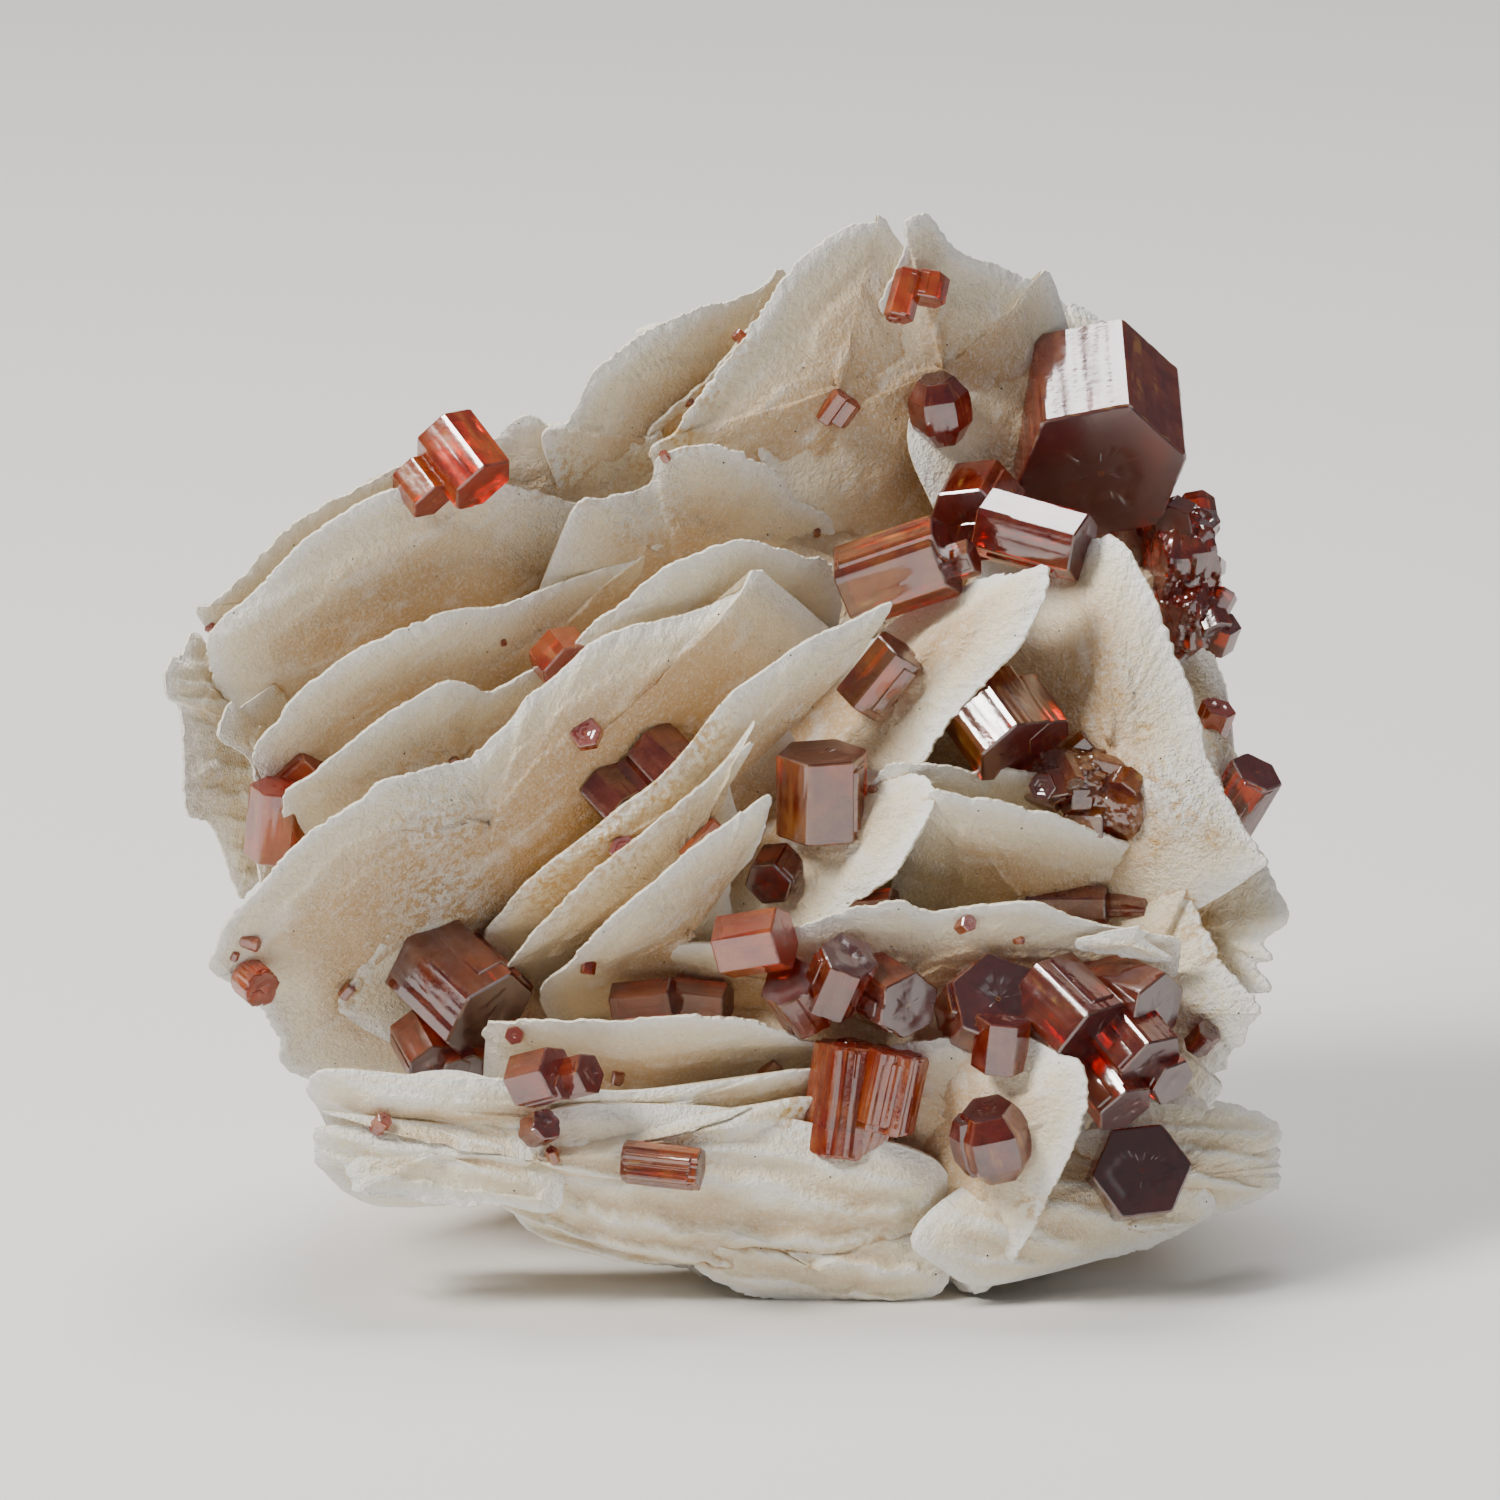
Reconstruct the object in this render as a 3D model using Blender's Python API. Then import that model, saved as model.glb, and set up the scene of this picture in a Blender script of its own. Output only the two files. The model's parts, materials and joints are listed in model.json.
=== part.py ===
"""Vanadinite on barite, a cabinet specimen about 50 mm wide.

White barite blades, stacked like shingles, carry red-brown hexagonal vanadinite prisms.
Shapes are given as seen from the front, in millimetres: right of the middle, up from the
lowest point, and near, towards the viewer. front() turns them into places in space.
"""
import math
import random

import bmesh
import bpy
from mathutils import Matrix, Vector, noise

MM = 0.001
VIEW_RISE = math.radians(14.5)
VIEW_DISTANCE = 650.0
VIEW_CENTRE_UP = 24.8
CENTRE_HEIGHT = 23.2
ORIGIN_SHIFT = (1.07, -3.17, 0.0)

BLADE_EDGE = 0.35
BLADE_SHOULDER = 1.8
BACK_POINTS = 4
POCKET_GAP = 0.3
GROUND_DEPTH = 5.0
LUMP_LEVEL = 1
MASS_ROUGHNESS = 0.12
GRANULAR_ROUGHNESS = 0.5
FLAT_ANGLE = math.radians(1.5)

BARITE_COLOUR = (0.82, 0.76, 0.68, 1.0)
VANADINITE_COLOUR = (0.30, 0.045, 0.02, 1.0)

# Each blade: its bright free rim as seen from the front, the way its broad face looks (degrees,
# 0 right, 90 up) and how far it leans from facing the viewer, how near its rim is, how far the
# blade reaches from the rim into the mass, its thickness, and how far its two ends sink.
BLADES = {
    "summit_back": dict(
        rim=[(-9, 38.1), (-7.8, 39.3), (-6.7, 41.2), (-4.9, 42.8), (-2.7, 43.9), (0.5, 44.9), (2, 45.5)],
        looks=-42, leans=48, near=0.5, reach=15, thick=1.6),
    "summit_lath": dict(
        rim=[(-4.4, 38.5), (-3.5, 39.9), (-2.2, 41.1), (-1, 42.5), (0.2, 43.6)],
        looks=-42, leans=60, near=-1.0, reach=8, thick=0.9),
    "summit_left": dict(
        rim=[(-3.9, 37.2), (-3.1, 39), (-2, 40.7), (-0.6, 42.6), (0.8, 44.4), (2.2, 46.2), (3.6, 47.4),
             (4.7, 48.1), (5.8, 48.2), (6.5, 47.8)],
        looks=-38, leans=34, near=1.2, reach=17, thick=1.6),
    "summit_front": dict(
        rim=[(0.8, 37.3), (1.6, 39.1), (2.9, 41.1), (5.4, 43.3), (6.4, 45.3), (7.1, 47.0), (7.1, 48.2),
             (7.8, 48.5), (8.4, 48.3), (8.8, 47.8), (9.2, 47.2), (10.3, 46.5), (11.2, 46.2), (12.9, 45.5),
             (13.9, 45.3)],
        looks=-38, leans=40, near=-1.0, reach=17, thick=1.8),
    "summit_right": dict(
        rim=[(10.5, 44.4), (12.7, 45.2), (13.9, 45.1), (15, 44.6), (15.8, 44.3), (16.4, 43.5), (17.4, 41.7),
             (18.3, 39.1), (18.8, 36.4), (18.4, 33)],
        looks=15, leans=38, near=-8.5, reach=-8, thick=2.2),
    "shoulder": dict(
        rim=[(-12.5, 37.1), (-11.2, 38.3), (-10.3, 39.2), (-9.6, 39.3), (-8.7, 39), (-6.7, 38.7),
             (-4.9, 38.4), (-3.7, 37.9)],
        looks=-75, leans=48, near=0.5, reach=15, thick=2.0),
    "left_outer": dict(
        rim=[(-24.4, 30.4), (-23.9, 31.3), (-22.8, 32.2), (-21.4, 33.5), (-20.1, 34.6), (-18.5, 35.6),
             (-17, 36.4), (-15.6, 37.2), (-13.8, 37.5)],
        looks=-55, leans=50, near=1.5, reach=15, thick=1.1),
    "left_broad": dict(
        rim=[(-23.4, 27), (-24.2, 29.3), (-23.6, 30.5), (-22.3, 31.5), (-20.5, 33.3), (-18.8, 34.5),
             (-17, 35.6), (-15.2, 36.3), (-13.2, 36.6), (-10.7, 36.4), (-8.5, 35.9), (-6.7, 35.3),
             (-4.9, 34.2)],
        looks=-62, leans=46, near=1.8, reach=17, thick=1.6),
    "saddle": dict(
        rim=[(-8, 34.8), (-6.3, 35.8), (-4.4, 36.4), (-4, 37.6), (-2.7, 38.1), (-1.2, 38.2), (-0.2, 37.8),
             (0.8, 37.3), (2.2, 35.9), (3.8, 33.9)],
        looks=-60, leans=46, near=1.2, reach=16, thick=1.4),
    "left_second": dict(
        rim=[(-21.8, 23.7), (-20.8, 25.9), (-20, 27), (-18.4, 28.3), (-17.1, 29.2), (-15.1, 30.2),
             (-13.6, 30.9), (-12.7, 31.1), (-10.8, 31.3), (-8.5, 32), (-5.5, 32.9), (-3.6, 33.3)],
        looks=-57, leans=52, near=2.8, reach=16, thick=1.2),
    "left_third": dict(
        rim=[(-20.8, 21.9), (-19.4, 23.7), (-17.9, 24.9), (-16.5, 26), (-15.1, 26.8), (-13.8, 27.5),
             (-12.9, 27.6), (-12.1, 27.3), (-11.5, 27.1), (-10.7, 27.5), (-9.6, 28.1), (-8.3, 28.4),
             (-6.7, 28.6)],
        looks=-57, leans=52, near=3.4, reach=16, thick=1.2),
    "middle_lobe": dict(
        rim=[(-8.4, 27.5), (-7.8, 29.2), (-6.7, 30.5), (-5.7, 31.1), (-4.3, 32.3), (-3.7, 32.9), (-2.7, 33.3),
             (-1.3, 33.8), (0, 33.9), (1.1, 33.6), (2.2, 33.3), (3.8, 32.8), (4.1, 31.8), (4.2, 30.7)],
        looks=-58, leans=48, near=3.0, reach=16, thick=1.3),
    "great_diagonal": dict(
        rim=[(-19.6, 9.8), (-20.8, 11.7), (-21.8, 13.2), (-22.9, 14), (-23.9, 14.7), (-23.6, 15.6),
             (-23, 17), (-21.8, 18.3), (-20.5, 19.9), (-18.8, 21.3), (-17.4, 22.2), (-16.2, 23.2),
             (-14.3, 23.7), (-12.5, 24.3), (-11.4, 25.1), (-10.5, 25.9), (-9.8, 26.9), (-8.7, 27.6),
             (-7.8, 28.3), (-6.7, 29.2), (-4.9, 30), (-3.8, 30.2), (-2, 30.8), (-0.4, 31.6), (1.1, 32.2)],
        looks=-55, leans=47, near=4.6, reach=17, thick=1.7),
    "diagonal_step": dict(
        rim=[(-17.9, 12.7), (-17.3, 14.7), (-16.3, 16.1), (-15.4, 16.9), (-14.3, 17.4), (-12.5, 17.9)],
        looks=-55, leans=47, near=1.0, reach=8, thick=1.2),
    "stained_blade": dict(
        rim=[(-11.6, 15.6), (-10.7, 17.4), (-9.2, 19), (-7.4, 20.4), (-5.6, 21.9), (-3.9, 23.2), (-2.2, 25),
             (-0.8, 26.9), (0.7, 28.1), (2.2, 29.2), (4.5, 30.2), (6.4, 31.1), (5.8, 30), (4.5, 28.7),
             (2.9, 27.2), (1.8, 26)],
        looks=-55, leans=55, near=5.2, reach=10, thick=1.6, sinks=(3.5, 0)),
    "tongue_upper": dict(
        rim=[(-10.9, 14.1), (-9.8, 16.1), (-8.5, 17.5), (-6.7, 19.3), (-4.5, 21.1), (-2.2, 22.8),
             (-0.7, 24.1), (0.4, 25.6), (0.4, 24.7), (-0.7, 23.2), (-2, 21.7)],
        looks=-55, leans=56, near=5.6, reach=9, thick=1.3, sinks=(4.0, 0)),
    "tongue_lower": dict(
        rim=[(-9.2, 13.4), (-7.8, 15.2), (-6.3, 17), (-4.5, 18.5), (-2.7, 20), (-1.3, 21.1), (-0.2, 21.9),
             (1, 22.6), (0.8, 21.4), (0.1, 19.9), (-0.9, 18.5)],
        looks=-55, leans=56, near=6.0, reach=9, thick=1.3, sinks=(4.5, 0)),
    "cross_blade": dict(
        rim=[(4.9, 29.7), (6.5, 30.9), (8.5, 31.8), (10, 32.5), (11.8, 32.8), (13.2, 33.1), (13, 31.6),
             (12.1, 29.7), (11.2, 28.7), (9.5, 27), (8.5, 25.9), (7.4, 24.3), (5.8, 22.5)],
        looks=150, leans=44, near=3.6, reach=13, thick=1.5),
    "cross_lower": dict(
        rim=[(4.9, 24), (6.9, 23.9), (8.1, 23.2), (7.7, 22), (6.9, 20.5), (5.9, 19.3), (4.7, 18.4),
             (3.6, 17.4), (1.8, 15.8)],
        looks=150, leans=46, near=5.4, reach=12, thick=1.4),
    "gallery_back": dict(
        rim=[(5.1, 22.1), (5.8, 23.5), (6.9, 23.9), (8.9, 23.8), (10.7, 23.3), (11.2, 23.6), (13.4, 23.3),
             (14.6, 22.7), (15.4, 21.7), (16.2, 20.5)],
        looks=-85, leans=52, near=3.2, reach=13, thick=1.2),
    "gallery_shelf": dict(
        rim=[(6.7, 19.9), (7.6, 22), (8.3, 22.7), (9.4, 22.5), (11.2, 22.3), (12.5, 22), (13.8, 21.7),
             (15.2, 21), (16.7, 20.3), (18.5, 19.8), (19.3, 18.7)],
        looks=-88, leans=54, near=4.4, reach=14, thick=1.5),
    "long_shelf": dict(
        rim=[(-5.4, 15), (-4.5, 15.5), (-2.7, 15.9), (-1.3, 16), (1.3, 16.4), (4.2, 17.3), (5.8, 17.5),
             (6.9, 17.6), (7.8, 17.2), (8.9, 17.2), (10.5, 17.4), (12.5, 17.5), (13.8, 17.1), (15.6, 16.5),
             (17.9, 16.1), (19.2, 15.2)],
        looks=-90, leans=54, near=6.0, reach=15, thick=1.6, sinks=(2.5, 0)),
    "splinter": dict(
        rim=[(18.5, 15.2), (16.5, 15.5), (15, 15.7), (14.4, 16.1), (15.2, 16.4), (17.9, 16), (18.8, 15.4)],
        looks=-90, leans=30, near=5.9, reach=-2.2, thick=0.9),
    "lower_shelf": dict(
        rim=[(-11.8, 11.8), (-10.7, 12.5), (-8.5, 12.6), (-5.8, 12.6), (-3.1, 12.6), (-1.3, 12.4),
             (0.4, 12.1), (2.2, 11.5), (3.6, 10.8)],
        looks=-90, leans=56, near=6.6, reach=13, thick=1.5, sinks=(4.0, 2.0)),
    "lilac_face": dict(
        rim=[(4.5, 10.3), (6, 11.2), (8.5, 11.5), (10, 11.4), (11.6, 11), (13.4, 10.8), (15, 10.8)],
        looks=-90, leans=38, near=5.0, reach=11, thick=2.2),
    "foot_shelf": dict(
        rim=[(-19.4, 8.7), (-19.7, 9.6), (-19.3, 10.1), (-18.1, 10.2), (-15.6, 10), (-13.4, 9.9),
             (-11.2, 9.8), (-8.5, 9.4), (-5.8, 9.2), (-3.1, 9.4), (-1.3, 9.6), (0.7, 9.9), (2.2, 10.1),
             (3.6, 9.7)],
        looks=-90, leans=52, near=7.2, reach=8, thick=1.7, sinks=(0, 3.0)),
    "white_tongue": dict(
        rim=[(-19.1, 5.9), (-19.3, 6.9), (-19.1, 7.7), (-18.8, 8.3), (-17.4, 8.2), (-15.6, 7.7), (-12.9, 7.4),
             (-10.3, 7.3), (-6.7, 7.4), (-4.5, 7.6), (-2.2, 8.2), (0, 8.6), (1.8, 8.9), (3.1, 8.3)],
        looks=-90, leans=42, near=6.6, reach=3.5, thick=2.0, sinks=(0, 2.0)),
    "heel_left": dict(
        rim=[(-17.9, 6.5), (-17.7, 5.7), (-17.5, 5.1), (-15.6, 4.9), (-12.9, 4.7), (-10.9, 4.6), (-8.5, 4.5)],
        looks=90, leans=12, near=6.3, reach=5, thick=2.2),
    "keel": dict(
        rim=[(-12, 4.9), (-10.9, 4.6), (-10.3, 3.4), (-9.6, 2.8), (-8, 2.5), (-6.3, 2.1), (-5.3, 1.9),
             (-4.9, 1.5), (-3.1, 1.3), (-2.2, 0.8), (-0.4, 0.3), (1.8, 0), (4.5, -0.1), (7.8, -0.1),
             (8.8, 0.6), (9.5, 1.7)],
        looks=-90, leans=40, near=0.9, reach=-7, thick=2.8),
    "keel_lens": dict(
        rim=[(-2.4, 1.5), (-0.4, 0.4), (1.8, 0.1), (4.5, -0.1), (7.6, 0), (8.6, 0.7), (8.7, 2), (7.4, 3),
             (4.5, 3.2), (1.5, 2.6)],
        looks=-90, leans=25, near=2.9, reach=-2.0, thick=1.6),
    "curved_right": dict(
        rim=[(9.2, 0.7), (11.2, 1.5), (11.8, 2.2), (12.7, 3.6), (13.3, 4.9), (13.9, 6.2), (14.5, 7.6),
             (14.8, 8.8), (14.8, 10), (14.4, 10.9), (13.2, 11.4)],
        looks=195, leans=42, near=6.2, reach=11, thick=1.6),
    "right_foot": dict(
        rim=[(15, 7.6), (16.7, 8.7), (18.3, 9.2), (20.3, 9.2), (22.1, 9), (23.4, 8.4), (24, 7.6), (24, 6.2),
             (23.9, 5.3), (22.3, 4.4), (20.5, 3.8), (18.5, 2.8), (16.5, 2.2)],
        looks=0, leans=25, near=-0.7, reach=-9, thick=2.6),
    "right_sole": dict(
        rim=[(20.8, 4), (19, 2.9), (16.5, 1.8), (13.8, 1.4), (12.2, 1.2)],
        looks=-90, leans=35, near=-0.9, reach=-6, thick=3.2),
    "right_wall": dict(
        rim=[(13.8, 33.3), (15.8, 34.2), (17, 32.8), (17.9, 31.3), (18.5, 29.7), (19.2, 27.9), (19.7, 26.1),
             (20, 24.6), (20.8, 23), (21.9, 21), (22.4, 20.2), (21.9, 19)],
        looks=190, leans=33, near=3.6, reach=15, thick=2.4),
    "right_leaf": dict(
        rim=[(19.1, 28.8), (20.1, 29.2), (20.8, 28), (21.2, 26.5), (21.4, 24.9), (22.1, 23), (22, 22),
             (21.3, 21.9)],
        looks=175, leans=45, near=-1.0, reach=11, thick=1.3),
    "right_fin": dict(
        rim=[(21.2, 20.3), (22.3, 20.3), (22.9, 19.2), (23.5, 18.1), (23.7, 17.5), (23.5, 17), (22.9, 16.7),
             (22.6, 16.2), (22.9, 15.6), (22.3, 15.2), (22.9, 14.3), (22, 14), (21.2, 14.7)],
        looks=170, leans=34, near=2.0, reach=14, thick=2.0),
    "right_ridge": dict(
        rim=[(18.7, 19.8), (19.3, 18.3), (20.1, 16.5), (21.2, 14.7), (22.4, 13.5), (22.5, 12.9), (21.9, 12.3),
             (21.7, 11.6), (21.1, 11.3), (20.8, 10.6), (20.4, 10.3), (20.7, 9.9), (20.3, 9.2), (19.2, 8.9)],
        looks=190, leans=36, near=3.4, reach=15, thick=2.2),
    "left_post": dict(
        rim=[(-23.9, 29.7), (-24.3, 30), (-24.8, 29.6), (-25, 29), (-25.5, 28.8), (-25.8, 28.1),
             (-25.7, 27.1), (-25.2, 26.6), (-25, 24.3), (-25, 22.7), (-24.7, 21.9), (-23.8, 21.4),
             (-23.1, 20.1), (-22.6, 18.8), (-21.8, 18.7)],
        looks=-5, leans=60, near=-0.5, reach=12, thick=1.7),
    "left_post_inner": dict(
        rim=[(-23.3, 25.4), (-22.9, 26.9), (-22.5, 26.7), (-22, 24.3), (-21.7, 22.5), (-21.8, 20.5),
             (-21.3, 18.8)],
        looks=-5, leans=56, near=0.8, reach=10, thick=1.1),
}

# Lumps of massive barite between and behind the blades, with the two hidden feet: middle and
# half sizes, right, back and up.
LUMPS = {
    "heart": ((-1, 8, 21), (13, 6, 12)),
    "crown": ((6, 14, 33), (9, 4, 9)),
    "shoulder_mass": ((-12, 10, 27), (9, 4, 7)),
    "right_mass": ((14, 9, 21), (7, 5, 12)),
    "base": ((1, 3, 8.5), (15, 9, 8)),
    "left_foot": ((-10, 11, 6), (6, 5, 7)),
    "right_foot_mass": ((13, 9, 6), (7, 6, 7)),
    "right_sugar": ((19.4, 0, 19.5), (2.8, 3.5, 5)),
}

# Blades of the hidden back: middle, the way they face (degrees, 0 right, 90 back), lean, half
# width, half height and thickness.
BACK_BLADES = {
    "back_high": ((3, 16, 36), 80, 30, 9, 7, 1.8),
    "back_upper": ((5, 15, 30), 85, 32, 11, 8, 1.6),
    "back_left": ((-12, 14, 23), 110, 30, 9, 8, 1.8),
    "back_middle": ((1, 15, 21), 90, 28, 11, 8, 1.8),
    "back_right": ((13, 14, 25), 65, 25, 8, 9, 1.8),
    "back_low": ((-3, 14, 13), 95, 22, 11, 8, 2.0),
    "back_low_right": ((11, 14, 14), 75, 20, 8, 8, 2.0),
}

# Each node of vanadinite is one or more crystals grown together. A prism stands at a point seen
# from the front, on a blade or at a stated depth, lifted towards the viewer; then the way its
# long axis points (right, up, near), its width over the corners, length and turn in degrees.
# Rough vanadinite with no clear faces is a lump: its middle, how near, and its half sizes.
def prism(at, axis, width, length, on=None, lift=0.0, turn=0.0, taper=1.0):
    return dict(at=at, axis=axis, width=width, length=length, on=on, lift=lift, turn=turn, taper=taper)


def lump(at, near, half_sizes):
    return dict(at=at, near=near, half_sizes=half_sizes)


CRYSTALS = {
    "crystal_upper_left": [
        prism((-12.8, 37.8), (0.55, -0.72, 0.4), 3.3, 3.3, "left_broad", -1.2, 0),
        prism((-14.6, 36.6), (0.55, -0.72, 0.4), 2.4, 1.9, "left_broad", -1.2, 0)],
    "crystal_summit_pair": [
        prism((6.9, 45.1), (-0.25, -0.9, 0.3), 1.4, 2.3, "summit_front", 0.5, 10),
        prism((8.0, 45.4), (-0.2, -0.9, 0.3), 1.7, 1.3, "summit_front", 0.5, 10)],
    "crystal_chips": [
        prism((3.7, 40.1), (0.55, 0.75, 0.3), 0.9, 1.6, "summit_left", 0.3, 0),
        prism((4.2, 39.9), (0.55, 0.75, 0.3), 1.0, 1.3, "summit_left", 0.4, 0)],
    "crystal_dark_barrel": [
        prism((8.5, 40.0), (-0.15, 0.9, 0.4), 2.9, 3.1, "summit_front", 1.2, 0, 0.55)],
    "crystal_largest": [
        prism((15.5, 39.1), (0.03, -0.6, 0.8), 8.0, 6.8, "summit_front", 3.6, 8)],
    "crystal_cluster": [
        prism((10.1, 35.5), (-0.25, -0.45, 0.85), 4.0, 3.2, None, -1.4, 0),
        prism((12.7, 34.4), (0.9, -0.25, 0.35), 3.3, 4.8, None, 0.9, 0)],
    "crystal_double_barrel": [
        prism((6.6, 32.8), (0.9, 0.3, 0.3), 4.0, 4.8, None, 1.9, 0),
        prism((9.3, 33.2), (0.9, 0.3, 0.3), 1.8, 1.6, None, 1.7, 0)],
    "crystal_slanting": [
        prism((5.8, 28.1), (0.6, 0.75, 0.25), 2.7, 3.2, "cross_blade", 1.0, 20)],
    "crystal_gold": [
        prism((11.0, 26.0), (0.5, -0.7, 0.5), 4.2, 3.6, None, 3.4, 0),
        prism((12.6, 26.4), (0.5, -0.7, 0.5), 2.4, 3.0, None, 3.0, 0),
        lump((14.2, 23.7), 2.6, (2.4, 1.7, 1.3)),
        lump((16.4, 22.3), 2.4, (2.1, 1.6, 1.8))],
    "crystal_upright": [
        prism((3.2, 22.9), (0.0, 0.95, 0.3), 4.2, 3.8, "cross_lower", 1.6, 12)],
    "crystal_small_dark": [
        prism((1.1, 19.3), (-0.3, -0.5, 0.8), 2.3, 2.0, "cross_lower", 0.6, 0)],
    "crystal_twin_blocks": [
        prism((-6.1, 22.8), (0.6, -0.65, 0.35), 2.5, 2.0, "great_diagonal", 1.4, 12),
        prism((-5.0, 23.5), (0.6, -0.65, 0.35), 1.9, 1.8, "great_diagonal", 1.4, 12),
        prism((-3.8, 24.4), (0.6, -0.65, 0.35), 2.8, 2.2, "great_diagonal", 1.6, 12)],
    "crystal_plate_upper": [
        prism((-7.3, 25.5), (-0.1, 0.3, 0.95), 1.5, 0.7, "great_diagonal", 0.3, 0)],
    "crystal_plate_lower": [
        prism((-5.6, 20.3), (-0.1, 0.3, 0.95), 1.4, 0.7, "stained_blade", 0.1, 0)],
    "crystal_sliver": [
        prism((-2.2, 20.8), (0.7, 0.7, 0.1), 0.7, 2.2, "tongue_upper", 0.4, 0)],
    "crystal_crescent": [
        prism((-8.4, 28.9), (0.5, -0.6, 0.6), 2.8, 1.5, "left_third", 0.1, 0)],
    "crystal_left_lower": [
        prism((-21.1, 21.6), (0.1, 0.93, 0.35), 2.8, 3.4, "left_post_inner", 2.3, 0),
        prism((-20.1, 23.6), (0.7, 0.6, 0.4), 2.2, 2.4, "left_post_inner", 2.2, 0)],
    "crystal_tip": [
        prism((-22.1, 14.4), (0.5, -0.4, 0.75), 1.9, 1.4, "great_diagonal", -0.2, 0)],
    "crystal_big_left": [
        prism((-13.0, 14.2), (0.62, -0.58, 0.52), 5.0, 4.6, "great_diagonal", 2.4, 15),
        prism((-14.6, 11.6), (0.4, -0.7, 0.6), 2.6, 2.4, "great_diagonal", 3.6, 0),
        prism((-12.9, 11.4), (0.2, -0.8, 0.6), 2.6, 2.6, "great_diagonal", 4.2, 0)],
    "crystal_flat_twin": [
        prism((-9.4, 10.2), (0.75, 0.2, 0.6), 2.6, 2.2, "foot_shelf", -0.4, 0),
        prism((-7.8, 10.2), (0.75, 0.2, 0.6), 2.0, 1.8, "foot_shelf", -0.4, 0)],
    "crystal_small_facets": [
        prism((-9.4, 7.9), (0.5, 0.3, 0.8), 1.6, 1.4, "white_tongue", -0.9, 0)],
    "crystal_slab": [
        prism((-3.9, 6.3), (0.97, -0.1, 0.2), 2.0, 3.5, "white_tongue", 0.8, 0)],
    "crystal_gap_pair": [
        prism((-4.7, 13.6), (0.95, 0.1, 0.3), 2.0, 2.8, "long_shelf", -0.1, 0),
        prism((-2.3, 13.6), (0.95, -0.1, 0.3), 2.0, 2.8, "long_shelf", -0.4, 0)],
    "crystal_shelf_block": [
        prism((0.2, 16.2), (0.9, 0.15, 0.4), 3.0, 3.0, "long_shelf", 0.1, 0)],
    "crystal_striated_group": [
        prism((2.2, 13.7), (-0.4, 0.6, 0.7), 2.8, 2.6, "long_shelf", 2.6, 0),
        prism((4.0, 14.6), (0.3, 0.7, 0.65), 2.8, 3.0, "long_shelf", 2.6, 0),
        prism((6.3, 13.9), (0.5, -0.3, 0.8), 3.2, 3.2, "long_shelf", 2.6, 0)],
    "crystal_rough_plate": [
        prism((4.1, 9.2), (0.12, 0.97, 0.1), 3.2, 5.0, "lilac_face", 0.1, 12),
        prism((6.2, 9.6), (0.2, 0.95, 0.15), 2.8, 3.6, "lilac_face", 0.2, 0),
        prism((5.4, 8.6), (0.3, 0.9, 0.2), 2.4, 3.4, "lilac_face", 0.3, 20)],
    "crystal_shelf_small": [
        prism((5.3, 17.9), (0.9, 0.1, 0.4), 1.4, 2.6, None, 4.6, 0)],
    "crystal_gap_right": [
        prism((14.2, 17.9), (0.97, 0, 0.2), 1.8, 3.6, "gallery_shelf", 0.8, 0),
        prism((16.7, 17.9), (0.97, 0, 0.2), 1.4, 2.2, "gallery_shelf", 0.8, 0),
        prism((15.0, 17.0), (0.9, 0, 0.4), 1.6, 2.2, "gallery_shelf", 1.2, 0)],
    "crystal_lower_right": [
        prism((10.7, 13.2), (0.2, 0.3, 0.93), 4.4, 3.6, None, 5.0, 0),
        prism((11.2, 11.7), (0.1, 0.95, 0.3), 2.5, 2.4, None, 6.8, 0),
        prism((14.2, 13.0), (0.6, -0.6, 0.5), 4.4, 3.8, None, 5.6, 0),
        prism((16.8, 13.8), (0.7, -0.3, 0.6), 3.6, 3.8, None, 4.6, 0),
        prism((17.0, 11.8), (0.55, -0.65, 0.5), 3.6, 3.2, None, 5.6, 0),
        prism((16.0, 9.8), (0.5, -0.7, 0.5), 3.0, 3.0, None, 5.4, 0),
        prism((18.1, 10.6), (0.6, -0.5, 0.6), 2.4, 2.6, None, 4.6, 0)],
    "crystal_glossy": [
        prism((10.9, 7.4), (-0.2, 0.85, 0.5), 3.8, 3.4, "lilac_face", 2.8, 0, 0.6)],
    "crystal_hexagon": [
        prism((17.3, 5.9), (0.1, 0.1, 0.99), 4.6, 3.2, "right_foot", 1.2, 22)],
    "crystal_stalk": [
        prism((13.9, 4.7), (0.95, 0.1, 0.3), 1.2, 2.0, None, 0.8, 0)],
    "crystal_right_rim_red": [
        prism((20.7, 26.0), (0.3, 0.8, 0.5), 1.6, 1.8, "right_leaf", 0.6, 0)],
    "crystal_right_rim_brown": [
        prism((21.9, 22.6), (0.4, 0.7, 0.5), 2.6, 3.4, "right_leaf", 0.0, 0)],
    "crystal_right_dark": [
        prism((20.2, 11.9), (0.5, 0.6, 0.6), 1.3, 1.3, "right_ridge", -0.2, 0)],
    "crystal_right_mass": [
        lump((19.2, 33.2), -6.0, (2.0, 2.2, 3.6)),
        lump((19.6, 30.9), -5.5, (1.9, 2.0, 2.0))],
    "crystal_back_upper": [
        prism((-5.0, 33.0), (-0.5, 0.5, -0.7), 3.6, 3.4, None, -15.6, 0),
        prism((-3.2, 31.8), (-0.5, 0.5, -0.7), 2.4, 3.0, None, -15.8, 0)],
    "crystal_back_right": [
        prism((9.0, 25.5), (0.3, 0.8, -0.5), 3.0, 4.0, None, -17.0, 0)],
    "crystal_back_low": [
        prism((-4.0, 15.5), (-0.7, 0.2, -0.7), 3.2, 2.8, None, -17.6, 0),
        prism((-2.0, 14.8), (-0.6, 0.5, -0.6), 2.4, 2.4, None, -17.6, 0)],
}

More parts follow.
